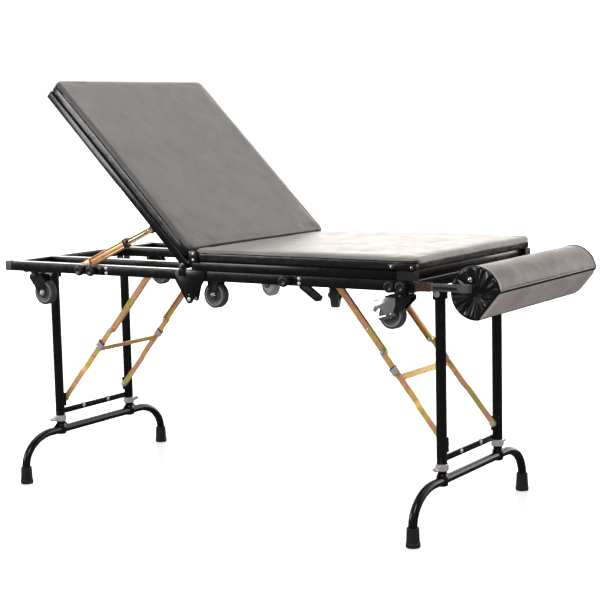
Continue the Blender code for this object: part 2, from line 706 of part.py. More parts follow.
def leg_set(tag):
    leg_x, knee, lower, upper = LEG_SETS[tag]
    leg_upper(tag, leg_x, lower)
    leg_lower(tag, leg_x)
    for side, label in SIDES:
        ferrule(tag + "_ferrule_" + label, leg_x, side * FOOT_Y)
        clamp(tag + "_clamp_" + label, leg_x, side)
    brace_lower(tag, knee, lower)
    for side, label in SIDES:
        brace_upper(tag + "_brace_upper_" + label, side, knee, upper)
        sleeve(tag + "_sleeve_" + label, side, knee, lower)


# -------------------------------------------------------------------- casters
WHEEL_R, WHEEL_HALF_W = 0.0325, 0.0120
AXLE_Z = 0.5325                 # swivel casters
CHEEK_Y0, CHEEK_Y1 = 0.0128, 0.0153     # inner and outer faces of a fork cheek
# Swivel casters: tag, direction from swivel to wheel, trail, has brake pedal
CASTERS = [
    ("1", (1, 0), 0.0240, False),
    ("2", (1, 0), 0.0240, False),
    ("4", (-0.93, 0.36), 0.0240, False),
    ("5", (-1, 0), 0.0340, True),
    ("6", (0.42, -0.907), 0.0240, False),
    ("7", (-1, 0), 0.0340, False),
]


def wheel(tag, centre, axis):
    # one half of the section, (radius, distance from the wheel's middle)
    half = [(BOLT_HOLE_R, WHEEL_HALF_W), (0.0110, WHEEL_HALF_W),
            (0.0130, WHEEL_HALF_W - 0.0035), (0.0240, WHEEL_HALF_W - 0.0035),
            (0.0250, WHEEL_HALF_W - 0.0010), (WHEEL_R, WHEEL_HALF_W - 0.0050)]
    profile = [(radius, -height) for radius, height in half] + half[::-1]
    piece("caster_wheel_" + tag, "wheel", centre, [lathe(profile, centre, axis, 18)])


def fork_sides(hub, axis, make_cheek):
    """Both cheeks with their hex nuts, and the axle through them."""
    parts = []
    for side in (-1, 1):
        parts += [make_cheek(*span(side, CHEEK_Y0, CHEEK_Y1)),
                  cylinder(hub + axis * (side * 0.0140), hub + axis * (side * 0.0190),
                           0.0065, HEX)]
    parts.append(cylinder(hub - axis * 0.0180, hub + axis * 0.0180, BOLT_R))
    return parts


def brake_pedal(pivot, along, up, axis):
    outline = arc(0.0, 0.0, 0.0040, 150, 330, 6) + [
        (0.0200, -0.0060), (0.0380, -0.0095), (0.0390, -0.0065),
        (0.0200, -0.0025), (0.0020, 0.0040)]
    piece("brake_pedal", "pink_plastic", pivot, [
        prism(outline, pivot, along, up, -0.0105, 0.0105),
        cylinder(pivot - axis * 0.0150, pivot + axis * 0.0150, 0.0025, 12),
    ])


def swivel_caster(tag, direction, trail, has_pedal):
    x, y = SWIVELS[tag]
    along = Vector((*direction, 0)).normalized()
    up = Vector((0, 0, 1))
    axis = along.cross(up)
    base = Vector((x, y, 0))
    hub = base + along * trail + up * AXLE_Z
    reach = 0.0400 if has_pedal else 0.0240     # of the fork beyond the swivel
    crown = [(-0.0180, 0.5770), (reach - 0.004, 0.5770),
             (reach - 0.004, 0.5805), (-0.0180, 0.5805)]
    cheek = [(-0.0195, 0.5802), (-0.0195, 0.5700)] + arc(trail, AXLE_Z, 0.0105, 215, 350, 4)
    if has_pedal:
        cheek += [(trail + 0.0135, 0.5640), (reach + 0.006, 0.5660),
                  (reach + 0.006, 0.5770), (reach - 0.006, 0.5802)]
    else:
        cheek += [(reach + 0.0060, 0.5700), (reach, 0.5802)]
    adds = [post(x, y, 0.5768, FORK_TOP, 0.0205),
            prism(crown, base, along, up, -0.0150, 0.0150)]
    adds += fork_sides(hub, axis, lambda low, high: prism(cheek, base, along, up, low, high))
    pivot = base + along * reach + up * 0.5715
    cuts = []
    if has_pedal:
        cuts.append(cylinder(pivot - axis * 0.02, pivot + axis * 0.02, 0.0028, 12))
    piece("caster_fork_" + tag, "black_paint", (x, y, FORK_TOP), adds, cuts)
    wheel(tag, hub, axis)
    if has_pedal:
        brake_pedal(pivot, along, up, axis)


def fixed_caster():
    """Non-swivelling caster under the near rail, just past the fold."""
    hub = Vector((0.0600, -0.2750, 0.5540))
    axis = Vector((0, 1, 0))
    plate_z1 = 0.5902
    cheek = [(0.0760, 0.5890), (0.0440, 0.5890)] + arc(hub.x, hub.z, 0.0100, 200, 340, 6)
    adds = [box(0.0300, 0.0900, -0.2970, -0.2530, 0.5881, plate_z1)]
    adds += fork_sides(hub, axis,
                       lambda low, high: prism_y(cheek, hub.y + low, hub.y + high))
    piece("caster_fork_3", "black_paint", (hub.x, hub.y, plate_z1), adds)
    wheel("3", hub, axis)


# ---------------------------------------------------------------------- knobs
KNOB_LOBES = 6
KNOB_STEPS = 18
# Knob rings: y from the face, mean radius, height of the lobes
KNOB_RINGS = [(0.0, 0.0095, 0.0), (-0.003, 0.0130, 0.0008),
              (-0.012, 0.0130, 0.0008), (-0.0145, 0.0105, 0.0)]


def knob(name, x, face_y, shaft_y):
    angles = [2 * math.pi * i / KNOB_STEPS for i in range(KNOB_STEPS)]
    rings = []
    for depth, mean, lobe in KNOB_RINGS:
        ring = []
        for angle in angles:
            radius = mean + lobe * math.cos(KNOB_LOBES * angle)
            ring.append(Vector((x + radius * math.cos(angle), face_y + depth,
                                KNOB_Z + radius * math.sin(angle))))
        rings.append(ring)
    piece(name, "plastic", (x, face_y, KNOB_Z),
          [loft(rings), pin(x, KNOB_Z, face_y - 0.002, shaft_y, BOLT_R)])


# -------------------------------------------------------------------- bolster
BAR_Y = -RAIL_Y                 # the bar slides in the near rail
BAR_END_X = 0.7440
BAR_ORIGIN = (BAR_END_X, BAR_Y, RAIL_Z)
SPINDLE_X, SPINDLE_Z = 0.7550, RAIL_Z - 0.001
PAD_Y0, PAD_Y1 = -0.2500, 0.3000
PAD_R = 0.0610
PAD_X, PAD_Z = 0.7560, 0.5880   # centre of the pad's round
PAD_FLAT = 0.0425               # flat side of the pad, from that centre
PAD_TILT = math.radians(50.0)   # the flat side faces down and outwards (+X)
# Pad end rounding: (distance from the end, inset)
PAD_ENDS = [(0.0, 0.0120), (0.0035, 0.0045), (0.0110, 0.0)]


def bolster_socket():
    piece("bolster_socket", "zinc", (0.632, BAR_Y, RAIL_Z),
          [rail_bar(0.4600, 0.6710, BAR_Y, 0.0100)], [rail_bar(0.4800, 0.68, BAR_Y, 0.0083)])


def bolster_bar():
    """Square bar with a reduced end and a round spindle along Y."""
    piece("bolster_bar", "chrome", BAR_ORIGIN, [
        rail_bar(0.5400, BAR_END_X, BAR_Y, 0.0080),
        rail_bar(0.7400, 0.7630, BAR_Y, 0.0062),
        pin(SPINDLE_X, SPINDLE_Z, BAR_Y + 0.0050, -0.1900, 0.0050),
    ])


def bolster_bar_cap():
    """End cap, hollow for the bar and open towards +Y for the spindle."""
    cuts = [
        rail_bar(0.7300, 0.7633, BAR_Y, 0.0065),
        pin(SPINDLE_X, SPINDLE_Z, BAR_Y, BAR_Y + 0.02, 0.0053),
        box(0.7300, SPINDLE_X, BAR_Y + 0.0060, BAR_Y + 0.02, RAIL_Z - 0.0063, RAIL_Z + 0.0043),
    ]
    piece("bolster_bar_cap", "plastic", BAR_ORIGIN,
          [rail_bar(BAR_END_X + GAP, 0.7660, BAR_Y, 0.0088)], cuts)


def tilted(outline, y):
    """Outline about the pad's centre, tilted and placed at y."""
    cosine, sine = math.cos(PAD_TILT), math.sin(PAD_TILT)
    return [Vector((PAD_X + a * cosine - b * sine, y, PAD_Z + a * sine + b * cosine))
            for a, b in outline]


def bolster():
    """Round pad cut flat along one side, on a bevelled board."""
    def section(inset):
        radius = PAD_R - inset
        low = math.degrees(math.asin((PAD_FLAT - inset) / radius))
        return arc(0.0, 0.0, radius, -low, 180.0 + low, 20)

    origin = (SPINDLE_X, 0, SPINDLE_Z)
    rings = [tilted(section(inset), PAD_Y0 + depth) for depth, inset in PAD_ENDS]
    rings += [tilted(section(inset), PAD_Y1 - depth) for depth, inset in PAD_ENDS[::-1]]
    bore = pin(SPINDLE_X, SPINDLE_Z, PAD_Y0 - 0.01, -0.1860, 0.0056)
    piece("bolster_cushion", "vinyl", origin, [loft(rings)], [bore], sharp=40)
    top = -PAD_FLAT - GAP
    board = [(-0.0415, top), (0.0415, top), (0.0350, -0.0500), (-0.0350, -0.0500)]
    piece("bolster_board", "board", origin,
          [loft([tilted(board, y) for y in (PAD_Y0 + 0.012, PAD_Y1 - 0.012)])])


# ---------------------------------------------------------------------- build
foot_frame()
head_frame()
for side, label in SIDES:
    head_cap(side, label)
seat_board()
for side, label in SIDES:
    seat_cap(side, label)
seat_cushion()
back_board()
back_cushion()
strut()
for tag in LEG_SETS:
    leg_set(tag)
for caster in CASTERS:
    swivel_caster(*caster)
fixed_caster()
for name, x, face_y, shaft_y, _ in HEAD_KNOBS + FOOT_KNOBS:
    knob(name, x, face_y, shaft_y)
bolster_socket()
bolster_bar()
bolster_bar_cap()
bolster()
bpy.context.view_layer.update()
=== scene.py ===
# Folding padded table on casters: a flat seat half, a raised backrest, two folding leg sets,
# a back strut, and a round bolster on an arm beyond the foot end.
# X runs from the head (-) to the foot (+), Y from the near side (-) to the far side (+), Z is up.
# Pieces are drawn about the fold line (x = 0) and the middle of the table (y = 0), floor at
# z = 0, and then moved by ORIGIN into the frame. All lengths are in metres.
import bpy
import bmesh
import math
from mathutils import Matrix, Vector, noise

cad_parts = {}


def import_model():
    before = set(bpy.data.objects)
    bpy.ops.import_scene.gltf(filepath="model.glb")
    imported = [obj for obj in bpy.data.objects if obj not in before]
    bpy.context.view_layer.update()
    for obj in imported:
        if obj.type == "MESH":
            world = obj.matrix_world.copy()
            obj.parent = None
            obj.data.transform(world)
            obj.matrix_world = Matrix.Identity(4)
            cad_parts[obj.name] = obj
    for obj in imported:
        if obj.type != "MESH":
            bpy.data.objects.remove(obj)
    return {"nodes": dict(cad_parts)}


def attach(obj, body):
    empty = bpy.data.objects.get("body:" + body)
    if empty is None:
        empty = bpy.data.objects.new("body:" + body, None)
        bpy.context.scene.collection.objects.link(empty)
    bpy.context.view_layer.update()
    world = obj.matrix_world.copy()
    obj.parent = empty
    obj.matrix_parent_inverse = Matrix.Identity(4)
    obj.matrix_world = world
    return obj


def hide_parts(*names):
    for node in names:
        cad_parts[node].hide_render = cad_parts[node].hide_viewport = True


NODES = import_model()["nodes"]
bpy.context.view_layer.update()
SCENE = bpy.context.scene
ORIGIN = Vector((-0.6148, 0.2915, 0.0))
SHIFT = Matrix.Translation(ORIGIN)
X_AXIS, Y_AXIS, Z_AXIS = Vector((1, 0, 0)), Vector((0, 1, 0)), Vector((0, 0, 1))
SIDES = (-1, 1)
SIDE_NAMES = {-1: "near", 1: "far"}

# ============================================================== driving dimensions
HALF_WIDTH = 0.3050
TUBE = 0.0254                       # square tube of the frames
RAIL_BASE = 0.5905
RAIL_TOP = RAIL_BASE + TUBE
RAIL_INSIDE = HALF_WIDTH - TUBE
RAIL_Y = HALF_WIDTH - TUBE / 2      # centre line of the outer rails
LEG_Y = 0.1480                      # legs and inner rails
CROSS_Y = 0.2960                    # ends of the cross tubes
HEAD_LEG_X, FOOT_LEG_X = -0.6008, 0.6148
HEAD_BRACE_X, FOOT_BRACE_X, BRACE_Z = -0.2640, 0.2945, 0.5970   # upper brace pivots
FOOT_Y = 0.2915                     # feet of the legs
FOLD_Z = 0.5435                     # fold pin, at x = 0
PIVOT_X, PIVOT_Z = -0.0180, 0.6240  # backrest hinge
BACK_FOOT = PIVOT_X - 0.0114        # backrest ends in x, before it is raised
BACK_HEAD = BACK_FOOT - 0.6040
RAISE = (Matrix.Translation((PIVOT_X, 0, PIVOT_Z)) @ Matrix.Rotation(math.radians(45.0), 4, "Y")
         @ Matrix.Translation((-PIVOT_X, 0, -PIVOT_Z)))
STRUT_FOOT = Vector((-0.3720, -0.2705, 0.6095))
STRUT_TOP = Vector((-0.1500, -0.2705, 0.7070))

# swivel casters: number -> (x, y, direction the wheel trails in, trail)
CASTERS = {
    1: (-0.5380, -0.2740, (1, 0), 0.0240),
    2: (-0.5450, 0.2250, (1, 0), 0.0240),
    4: (-0.0290, 0.1100, (-0.93, 0.36), 0.0240),
    5: (0.5945, -0.2740, (-1, 0), 0.0340),
    6: (0.2330, 0.0054, (0.42, -0.907), 0.0240),
    7: (0.5945, 0.2740, (-1, 0), 0.0340),
}


# ============================================================== shader graphs
class Graph:
    """Short helpers for building a node tree."""

    def __init__(self, tree):
        self.tree = tree

    def node(self, kind, **settings):
        node = self.tree.nodes.new("ShaderNode" + kind)
        for key, value in settings.items():
            setattr(node, key, value)
        return node

    def feed(self, socket, value):
        """Links an output, or sets a number or an RGB colour."""
        if isinstance(value, bpy.types.NodeSocket):
            self.tree.links.new(value, socket)
        elif isinstance(value, tuple):
            socket.default_value = (*value, 1.0)
        else:
            socket.default_value = value

    def remap(self, value, from_low, from_high, to_low, to_high, smooth=False):
        node = self.node("MapRange")
        if smooth:
            node.interpolation_type = "SMOOTHSTEP"
        limits = {"From Min": from_low, "From Max": from_high, "To Min": to_low, "To Max": to_high}
        for key, limit in limits.items():
            node.inputs[key].default_value = limit
        self.feed(node.inputs["Value"], value)
        return node.outputs["Result"]

    def math(self, operation, first, second):
        node = self.node("Math", operation=operation)
        self.feed(node.inputs[0], first)
        self.feed(node.inputs[1], second)
        return node.outputs[0]

    def mix(self, data_type, factor, first, second):
        node = self.node("Mix", data_type=data_type)
        # each data type has its own pair of sockets and its own output
        socket, output = {"FLOAT": (2, 0), "RGBA": (6, 2)}[data_type]
        self.feed(node.inputs[0], factor)
        self.feed(node.inputs[socket], first)
        self.feed(node.inputs[socket + 1], second)
        return node.outputs[output]


class Shader(Graph):
    """A Principled material with its textures in object coordinates."""
    INPUTS = {
        "color": "Base Color", "rough": "Roughness", "metal": "Metallic",
        "spec": "Specular IOR Level", "coat": "Coat Weight", "coat_rough": "Coat Roughness",
        "normal": "Normal", "glow_color": "Emission Color", "glow": "Emission Strength",
    }

    def __init__(self, name):
        self.material = bpy.data.materials.new(name)
        self.material.use_nodes = True
        super().__init__(self.material.node_tree)
        self.surface = self.tree.nodes["Principled BSDF"]
        self.coords = self.node("TexCoord").outputs["Object"]

    def noise(self, scale, detail=4.0, rough=0.55, coords=None):
        node = self.node("TexNoise")
        node.inputs["Scale"].default_value = scale
        node.inputs["Detail"].default_value = detail
        node.inputs["Roughness"].default_value = rough
        self.feed(node.inputs["Vector"], coords or self.coords)
        return node.outputs["Fac"]

    def cells(self, scale, feature="SMOOTH_F1"):
        node = self.node("TexVoronoi", feature=feature)
        node.inputs["Scale"].default_value = scale
        self.feed(node.inputs["Vector"], self.coords)
        return node.outputs["Distance"]

    def vary(self, fac, low, high):
        """Spreads the busy middle of a noise over a range."""
        return self.remap(fac, 0.3, 0.7, low, high)

    def mottle(self, fac, base, other, start=0.3):
        return self.mix("RGBA", self.remap(fac, start, 0.7, 0.0, 1.0), base, other)

    def bump(self, height, strength, distance, under=None):
        node = self.node("Bump")
        node.inputs["Strength"].default_value = strength
        node.inputs["Distance"].default_value = distance
        self.feed(node.inputs["Height"], height)
        if under is not None:
            self.feed(node.inputs["Normal"], under)
        return node.outputs["Normal"]

    def finish(self, **inputs):
        for key, value in inputs.items():
            self.feed(self.surface.inputs[self.INPUTS[key]], value)
        return self.material


# ============================================================== materials
def powder(name, base, rough=0.20):
    """Powder coat with a faint orange peel."""
    shader = Shader(name)
    patches = shader.noise(scale=14.0, detail=3.0)
    grain = shader.noise(scale=900.0, detail=2.0)
    peel = shader.cells(scale=620.0)
    color = shader.mottle(patches, base, tuple(c * 1.7 for c in base), start=0.35)
    rough = shader.vary(shader.noise(scale=60.0, detail=5.0), rough - 0.04, rough + 0.07)
    normal = shader.bump(peel, strength=0.10, distance=0.0004)
    normal = shader.bump(grain, strength=0.06, distance=0.0002, under=normal)
    return shader.finish(color=color, rough=rough, spec=0.42, normal=normal)


def vinyl(name, base, rough, spec, grain, wrinkle=0.0):
    """Embossed vinyl: cell grain over slow undulation, with fine pores."""
    shader = Shader(name)
    cells = shader.cells(scale=950.0)
    creases = shader.cells(scale=430.0, feature="DISTANCE_TO_EDGE")
    pores = shader.noise(scale=1600.0, detail=2.0)
    patches = shader.noise(scale=9.0, detail=4.0)
    color = shader.mottle(patches, base, tuple(c * 1.35 + 0.002 for c in base), start=0.35)
    # emboss height: weighted cells plus clipped creases
    emboss = shader.math("ADD", shader.math("MULTIPLY", cells, 0.7),
                         shader.math("MULTIPLY", shader.math("MINIMUM", creases, 0.25), 1.1))
    normal = shader.bump(shader.noise(scale=22.0, detail=3.0),
                         strength=0.10 + wrinkle, distance=0.0040)
    normal = shader.bump(emboss, strength=grain, distance=0.00045, under=normal)
    normal = shader.bump(pores, strength=0.05, distance=0.0002, under=normal)
    rough = shader.vary(shader.noise(scale=35.0, detail=5.0), rough - 0.05, rough + 0.08)
    return shader.finish(color=color, rough=rough, spec=spec, coat=0.10, coat_rough=0.30,
                         normal=normal)


# iridescent bands of the zinc plating: (noise level, colour)
ZINC_BANDS = [
    (0.30, (0.50, 0.56, 0.16)), (0.39, (0.80, 0.60, 0.14)), (0.46, (0.90, 0.52, 0.17)),
    (0.515, (0.86, 0.36, 0.28)), (0.57, (0.78, 0.52, 0.16)), (0.64, (0.50, 0.54, 0.15)),
    (0.76, (0.34, 0.20, 0.09)),
]


def zinc(name, seed):
    """Yellow zinc plating; the seed moves the bands."""
    shader = Shader(name)
    mapping = shader.node("Mapping")
    mapping.inputs["Location"].default_value = (seed, seed * 0.7, seed * 1.3)
    shader.feed(mapping.inputs["Vector"], shader.coords)
    moved = mapping.outputs["Vector"]
    bands = shader.noise(scale=13.0, detail=2.5, rough=0.5, coords=moved)
    streaks = shader.noise(scale=55.0, detail=3.0, rough=0.6, coords=moved)
    level = shader.math("ADD", shader.math("MULTIPLY", bands, 0.86),
                        shader.math("MULTIPLY", streaks, 0.14))
    ramp = shader.node("ValToRGB")
    stops = ramp.color_ramp.elements
    while len(stops) < len(ZINC_BANDS):
        stops.new(0.5)
    for stop, (position, color) in zip(stops, ZINC_BANDS):
        stop.position = position
        stop.color = (*color, 1.0)
    shader.feed(ramp.inputs["Fac"], level)
    scratches = shader.noise(scale=260.0, detail=2.0, rough=0.5)
    normal = shader.bump(scratches, strength=0.03, distance=0.0002)
    rough = shader.vary(shader.noise(scale=120.0), 0.24, 0.42)
    return shader.finish(color=ramp.outputs["Color"], rough=rough, metal=0.42, spec=0.9,
                         normal=normal)


def metal(name, base, rough, bump=0.04, metallic=1.0):
    shader = Shader(name)
    color = shader.mottle(shader.noise(scale=45.0), base, tuple(c * 0.86 for c in base))
    rough = shader.vary(shader.noise(scale=160.0), rough - 0.04, rough + 0.08)
    normal = shader.bump(shader.noise(scale=500.0, detail=3.0), strength=bump, distance=0.0002)
    return shader.finish(color=color, rough=rough, metal=metallic, normal=normal)


def plastic(name, base, rough, spec=0.5, grain=0.10, scale=1100.0):
    shader = Shader(name)
    lighter = tuple(min(c * 1.25 + 0.004, 1.0) for c in base)
    color = shader.mottle(shader.noise(scale=30.0), base, lighter)
    rough = shader.vary(shader.noise(scale=90.0), rough - 0.06, rough + 0.07)
    normal = shader.bump(shader.cells(scale), strength=grain, distance=0.0003)
    return shader.finish(color=color, rough=rough, spec=spec, normal=normal)


BLACK = powder("powder_black", base=(0.0034, 0.0030, 0.0031))
LEG_BLACK = powder("powder_black_legs", base=(0.0044, 0.0038, 0.0040))
PRESSED = powder("pressed_black", base=(0.0038, 0.0038, 0.0042), rough=0.26)
# Seat and backrest covers: the same black vinyl as the sides, their base colours lightened to grey
# as painted reflection of the bright backdrop on the tops
SEAT_VINYL_PAINTED_REFLECTION = vinyl("vinyl_seat_painted_reflection", base=(0.160, 0.152, 0.144), rough=0.38, spec=0.42, grain=0.10)
BACK_VINYL_PAINTED_REFLECTION = vinyl("vinyl_back_painted_reflection", base=(0.060, 0.0555, 0.0525), rough=0.44, spec=0.80, grain=0.30)
BOLSTER_VINYL = vinyl("vinyl_bolster", base=(0.045, 0.031, 0.030), rough=0.42, spec=0.42,
                      grain=0.26, wrinkle=0.03)
BOLSTER_END = vinyl("vinyl_bolster_end", base=(0.0040, 0.0038, 0.0042), rough=0.24, spec=0.50,
                    grain=0.18, wrinkle=0.10)
# Bolster base panel: its pale pinkish grey base colour is a painted highlight on the downward flat
# face
PANEL_VINYL_PAINTED_HIGHLIGHT = vinyl("vinyl_panel_painted_highlight", base=(0.36, 0.315, 0.31), rough=0.36, spec=0.70,
                    grain=0.24, wrinkle=0.15)
SIDE_VINYL = vinyl("vinyl_side", base=(0.0045, 0.0042, 0.0045), rough=0.24, spec=0.55, grain=0.18)
THREAD = plastic("thread_grey", base=(0.10, 0.095, 0.09), rough=0.6, spec=0.4, grain=0.3,
                 scale=2500.0)
BOARD = plastic("board_black", base=(0.0045, 0.0045, 0.005), rough=0.40, spec=0.45, grain=0.12,
                scale=700.0)
ZINC = [zinc("zinc_%d" % i, seed=0.37 * i) for i in range(6)]
CHROME = metal("chrome", base=(0.86, 0.86, 0.88), rough=0.14)
STEEL = metal("bright_steel", base=(0.80, 0.79, 0.79), rough=0.26, bump=0.06, metallic=0.62)
NICKEL = metal("nickel_plate", base=(0.80, 0.77, 0.77), rough=0.22, bump=0.05, metallic=0.58)
BRONZE = metal("socket_bronze", base=(0.40, 0.24, 0.17), rough=0.22, bump=0.06)
BRAKE = metal("brake_steel", base=(0.50, 0.50, 0.52), rough=0.20, bump=0.35, metallic=0.72)
RUBBER = plastic("rubber_black", base=(0.010, 0.0095, 0.010), rough=0.58, spec=0.35, grain=0.35,
                 scale=520.0)
TREAD = plastic("tread_grey", base=(0.040, 0.039, 0.040), rough=0.50, spec=0.4, grain=0.20,
                scale=900.0)
TREAD_LIGHT = plastic("tread_light", base=(0.26, 0.26, 0.265), rough=0.50, spec=0.45, grain=0.16,
                      scale=900.0)
CORE = plastic("core_grey", base=(0.050, 0.049, 0.050), rough=0.38, grain=0.08, scale=900.0)
CORE_LIGHT = plastic("core_light", base=(0.45, 0.45, 0.46), rough=0.40, grain=0.08, scale=900.0)
RING = plastic("ring_light", base=(0.30, 0.30, 0.31), rough=0.35, grain=0.05, scale=900.0)
PLASTIC = plastic("plastic_black", base=(0.0060, 0.0058, 0.0064), rough=0.30, spec=0.55)
GREY_PLASTIC = plastic("plastic_grey", base=(0.060, 0.058, 0.058), rough=0.45, spec=0.45,
                       grain=0.14)
RED = plastic("pedal_red", base=(0.62, 0.30, 0.33), rough=0.42)


# ============================================================== mesh helpers
def axes_of(direction):
    """Two cross axes and the unit direction."""
    direction = Vector(direction).normalized()
    other = Z_AXIS if abs(direction.z) < 0.9 else X_AXIS
    right = other.cross(direction).normalized()
    return right, direction.cross(right), direction


def circle(center, right, up, radius, count):
    angles = [2 * math.pi * i / count for i in range(count)]
    return [center + (right * math.cos(t) + up * math.sin(t)) * radius for t in angles]


def loft(rings, capped=True):
    mesh = bmesh.new()
    rows = [[mesh.verts.new(p) for p in ring] for ring in rings]
    count = len(rows[0])
    for row, following in zip(rows, rows[1:]):
        for i in range(count):
            j = (i + 1) % count
            mesh.faces.new((row[i], row[j], following[j], following[i]))
    if capped:
        mesh.faces.new(rows[0][::-1])
        mesh.faces.new(rows[-1])
    bmesh.ops.recalc_face_normals(mesh, faces=mesh.faces[:])
    return mesh


def rod(start, end, radius):
    start, end = Vector(start), Vector(end)
    right, up, axis = axes_of(end - start)
    length = (end - start).length
    bevel = min(0.0006, radius * 0.45, length * 0.45)
    profile = [(radius - bevel, 0.0), (radius - bevel * 0.30, bevel * 0.30), (radius, bevel)]
    profile += [(r, length - h) for r, h in profile[::-1]]
    return loft([circle(start + axis * h, right, up, r, 40) for r, h in profile])


def turned(profile, origin, axis, seg, closed=False):
    """Turns a profile of (radius, height); a closed profile makes a ring with a bore."""
    origin = Vector(origin)
    right, up, axis = axes_of(axis)
    mesh = bmesh.new()
    rows = []
    for radius, height in profile:
        center = origin + axis * height
        points = [center] if radius < 1e-6 else circle(center, right, up, radius, seg)
        rows.append([mesh.verts.new(p) for p in points])
    pairs = list(zip(rows, rows[1:]))
    if closed:
        pairs.append((rows[-1], rows[0]))
    for row, following in pairs:
        if len(row) == 1 and len(following) == 1:
            continue
        for i in range(seg):
            j = (i + 1) % seg
            if len(row) == 1:
                mesh.faces.new((row[0], following[j], following[i]))
            elif len(following) == 1:
                mesh.faces.new((row[i], row[j], following[0]))
            else:
                mesh.faces.new((row[i], row[j], following[j], following[i]))
    bmesh.ops.recalc_face_normals(mesh, faces=mesh.faces[:])
    return mesh


def bevel_edges(mesh, edges, offset, seg, **options):
    bmesh.ops.bevel(mesh, geom=edges, offset=offset, segments=seg, profile=0.5,
                    affect="EDGES", **options)


def box(*limits, bevel=0.0012, seg=3, long_edges=False):
    """Box from its x, y and z limit pairs; long_edges rounds only the edges along its length."""
    pairs = list(zip(limits[0::2], limits[1::2]))
    center = Vector([(a + b) / 2 for a, b in pairs])
    size = Vector([abs(b - a) for a, b in pairs])
    mesh = bmesh.new()
    bmesh.ops.create_cube(mesh, size=1.0,
                          matrix=Matrix.Translation(center) @ Matrix.Diagonal(size.to_4d()))
    edges = mesh.edges[:]
    if long_edges:
        axis = max(range(3), key=lambda i: size[i])
        edges = [e for e in edges
                 if abs((e.verts[0].co - e.verts[1].co).normalized()[axis]) > 0.9]
    bevel_edges(mesh, edges, min(bevel, min(size) * 0.48), seg)
    return mesh


def tube(*limits):
    """Square tube with rounded long corners."""
    return box(*limits, bevel=0.0026, seg=4, long_edges=True)


def both_sides(maker, *limits, **rounding):
    """The same box on the near and the far side; y limits are given for the far one."""
    x_low, x_high, y_low, y_high, z_low, z_high = limits
    return [maker(x_low, x_high, side * y_low, side * y_high, z_low, z_high, **rounding)
            for side in SIDES]


def prism(outline, origin, right, up, start, end, bevel=0.0005, seg=2):
    """Outline in the right/up plane, run from start to end along right x up."""
    origin, right, up = Vector(origin), Vector(right).normalized(), Vector(up).normalized()
    normal = right.cross(up)
    mesh = loft([[origin + right * a + up * b + normal * h for a, b in outline]
                 for h in (start, end)])
    edges = [e for e in mesh.edges if len(e.link_faces) == 2 and e.calc_face_angle() > 0.6]
    bevel_edges(mesh, edges, bevel, seg, clamp_overlap=True)
    return mesh


def side_prism(outline, y_one, y_two, bevel=0.0005, seg=2):
    """(x, z) outline between two y values."""
    return prism(outline, (0, 0, 0), X_AXIS, Z_AXIS, -max(y_one, y_two), -min(y_one, y_two),
                 bevel, seg)


def sweep(path, radius, seg):
    """Round bar along a path, its section carried along without twist."""
    path = [Vector(p) for p in path]
    last = len(path) - 1
    rings, right = [], None
    for i, point in enumerate(path):
        axis = (path[min(i + 1, last)] - path[max(i - 1, 0)]).normalized()
        right = axes_of(axis)[0] if right is None else right
        right = (right - axis * right.dot(axis)).normalized()
        rings.append(circle(point, right, axis.cross(right), radius, seg))
    return loft(rings)


def hex_bolt(seat, axis, radius, height):
    """Washer and chamfered hex head; the axis points out of the seat."""
    seat = Vector(seat)
    right, up, axis = axes_of(axis)
    washer = [(0.0, 0.0), (radius * 1.30, 0.0), (radius * 1.32, 0.0004),
              (radius * 1.25, 0.0009), (0.0, 0.0010)]
    # (share of the radius, height)
    head = [(0.97, 0.0009), (1.0, 0.0013), (1.0, height - 0.0008), (0.86, height),
            (0.30, height + 0.0004)]
    return [turned(washer, seat, axis, 32),
            loft([circle(seat + axis * h, right, up, radius * r, 6) for r, h in head])]


def dome_bolt(seat, axis, radius, height):
    profile = [(0.0, 0.0), (radius, 0.0), (radius * 1.02, height * 0.15)]
    for i in range(7):
        t = math.radians(10 + 70 * i / 6)
        profile.append((radius * math.cos(t), height * (0.15 + 0.85 * math.sin(t))))
    return turned(profile + [(0.0, height)], seat, axis, 28)


def arc(x, y, radius, start, end, count):
    """Points on a circle between two angles in degrees."""
    angles = [math.radians(start + (end - start) * i / count) for i in range(count + 1)]
    return [(x + radius * math.cos(t), y + radius * math.sin(t)) for t in angles]


def link(name, data):
    ob = bpy.data.objects.new(name, data)
    SCENE.collection.objects.link(ob)
    return ob


def merge(part, target):
    """Moves one bmesh into another."""
    mesh = bpy.data.meshes.new("part")
    part.to_mesh(mesh)
    part.free()
    target.from_mesh(mesh)
    bpy.data.meshes.remove(mesh)


def to_mesh(name, source):
    mesh = bpy.data.meshes.new(name)
    source.to_mesh(mesh)
    source.free()
    return mesh


def finish_mesh(mesh, *materials):
    for material in materials:
        mesh.materials.append(material)
    mesh.polygons.foreach_set("use_smooth", [True] * len(mesh.polygons))


def subdivide(ob):
    modifier = ob.modifiers.new("sub", "SUBSURF")
    modifier.levels = modifier.render_levels = 1


class Piece:
    """One object gathered from many parts."""

    def __init__(self, name):
        self.name = name
        self.mesh = bmesh.new()
        self.materials = []

    def add(self, material, *parts):
        """Adds parts, or lists of parts, in one material."""
        if material not in self.materials:
            self.materials.append(material)
        index = self.materials.index(material)
        for part in parts:
            for shell in part if isinstance(part, list) else [part]:
                for face in shell.faces:
                    face.material_index = index
                merge(shell, self.mesh)

    def finish(self, body, nodes=(), slot=None, sharp=38.0):
        mesh = to_mesh(self.name, self.mesh)
        finish_mesh(mesh, *self.materials)
        mesh.set_sharp_from_angle(angle=math.radians(sharp))
        mesh.transform(SHIFT)
        ob = link(self.name, mesh)
        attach(ob, body)
        if nodes:
            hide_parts(*nodes)


def dress(node, material, bevel, seg=2):
    """Keeps a CAD node, with a finished material and softly broken edges."""
    ob = NODES[node]
    ob.data.materials.clear()
    ob.data.materials.append(material)
    modifier = ob.modifiers.new("edge", "BEVEL")
    modifier.width = bevel
    modifier.segments = seg
    modifier.limit_method = "ANGLE"
    modifier.angle_limit = math.radians(40)


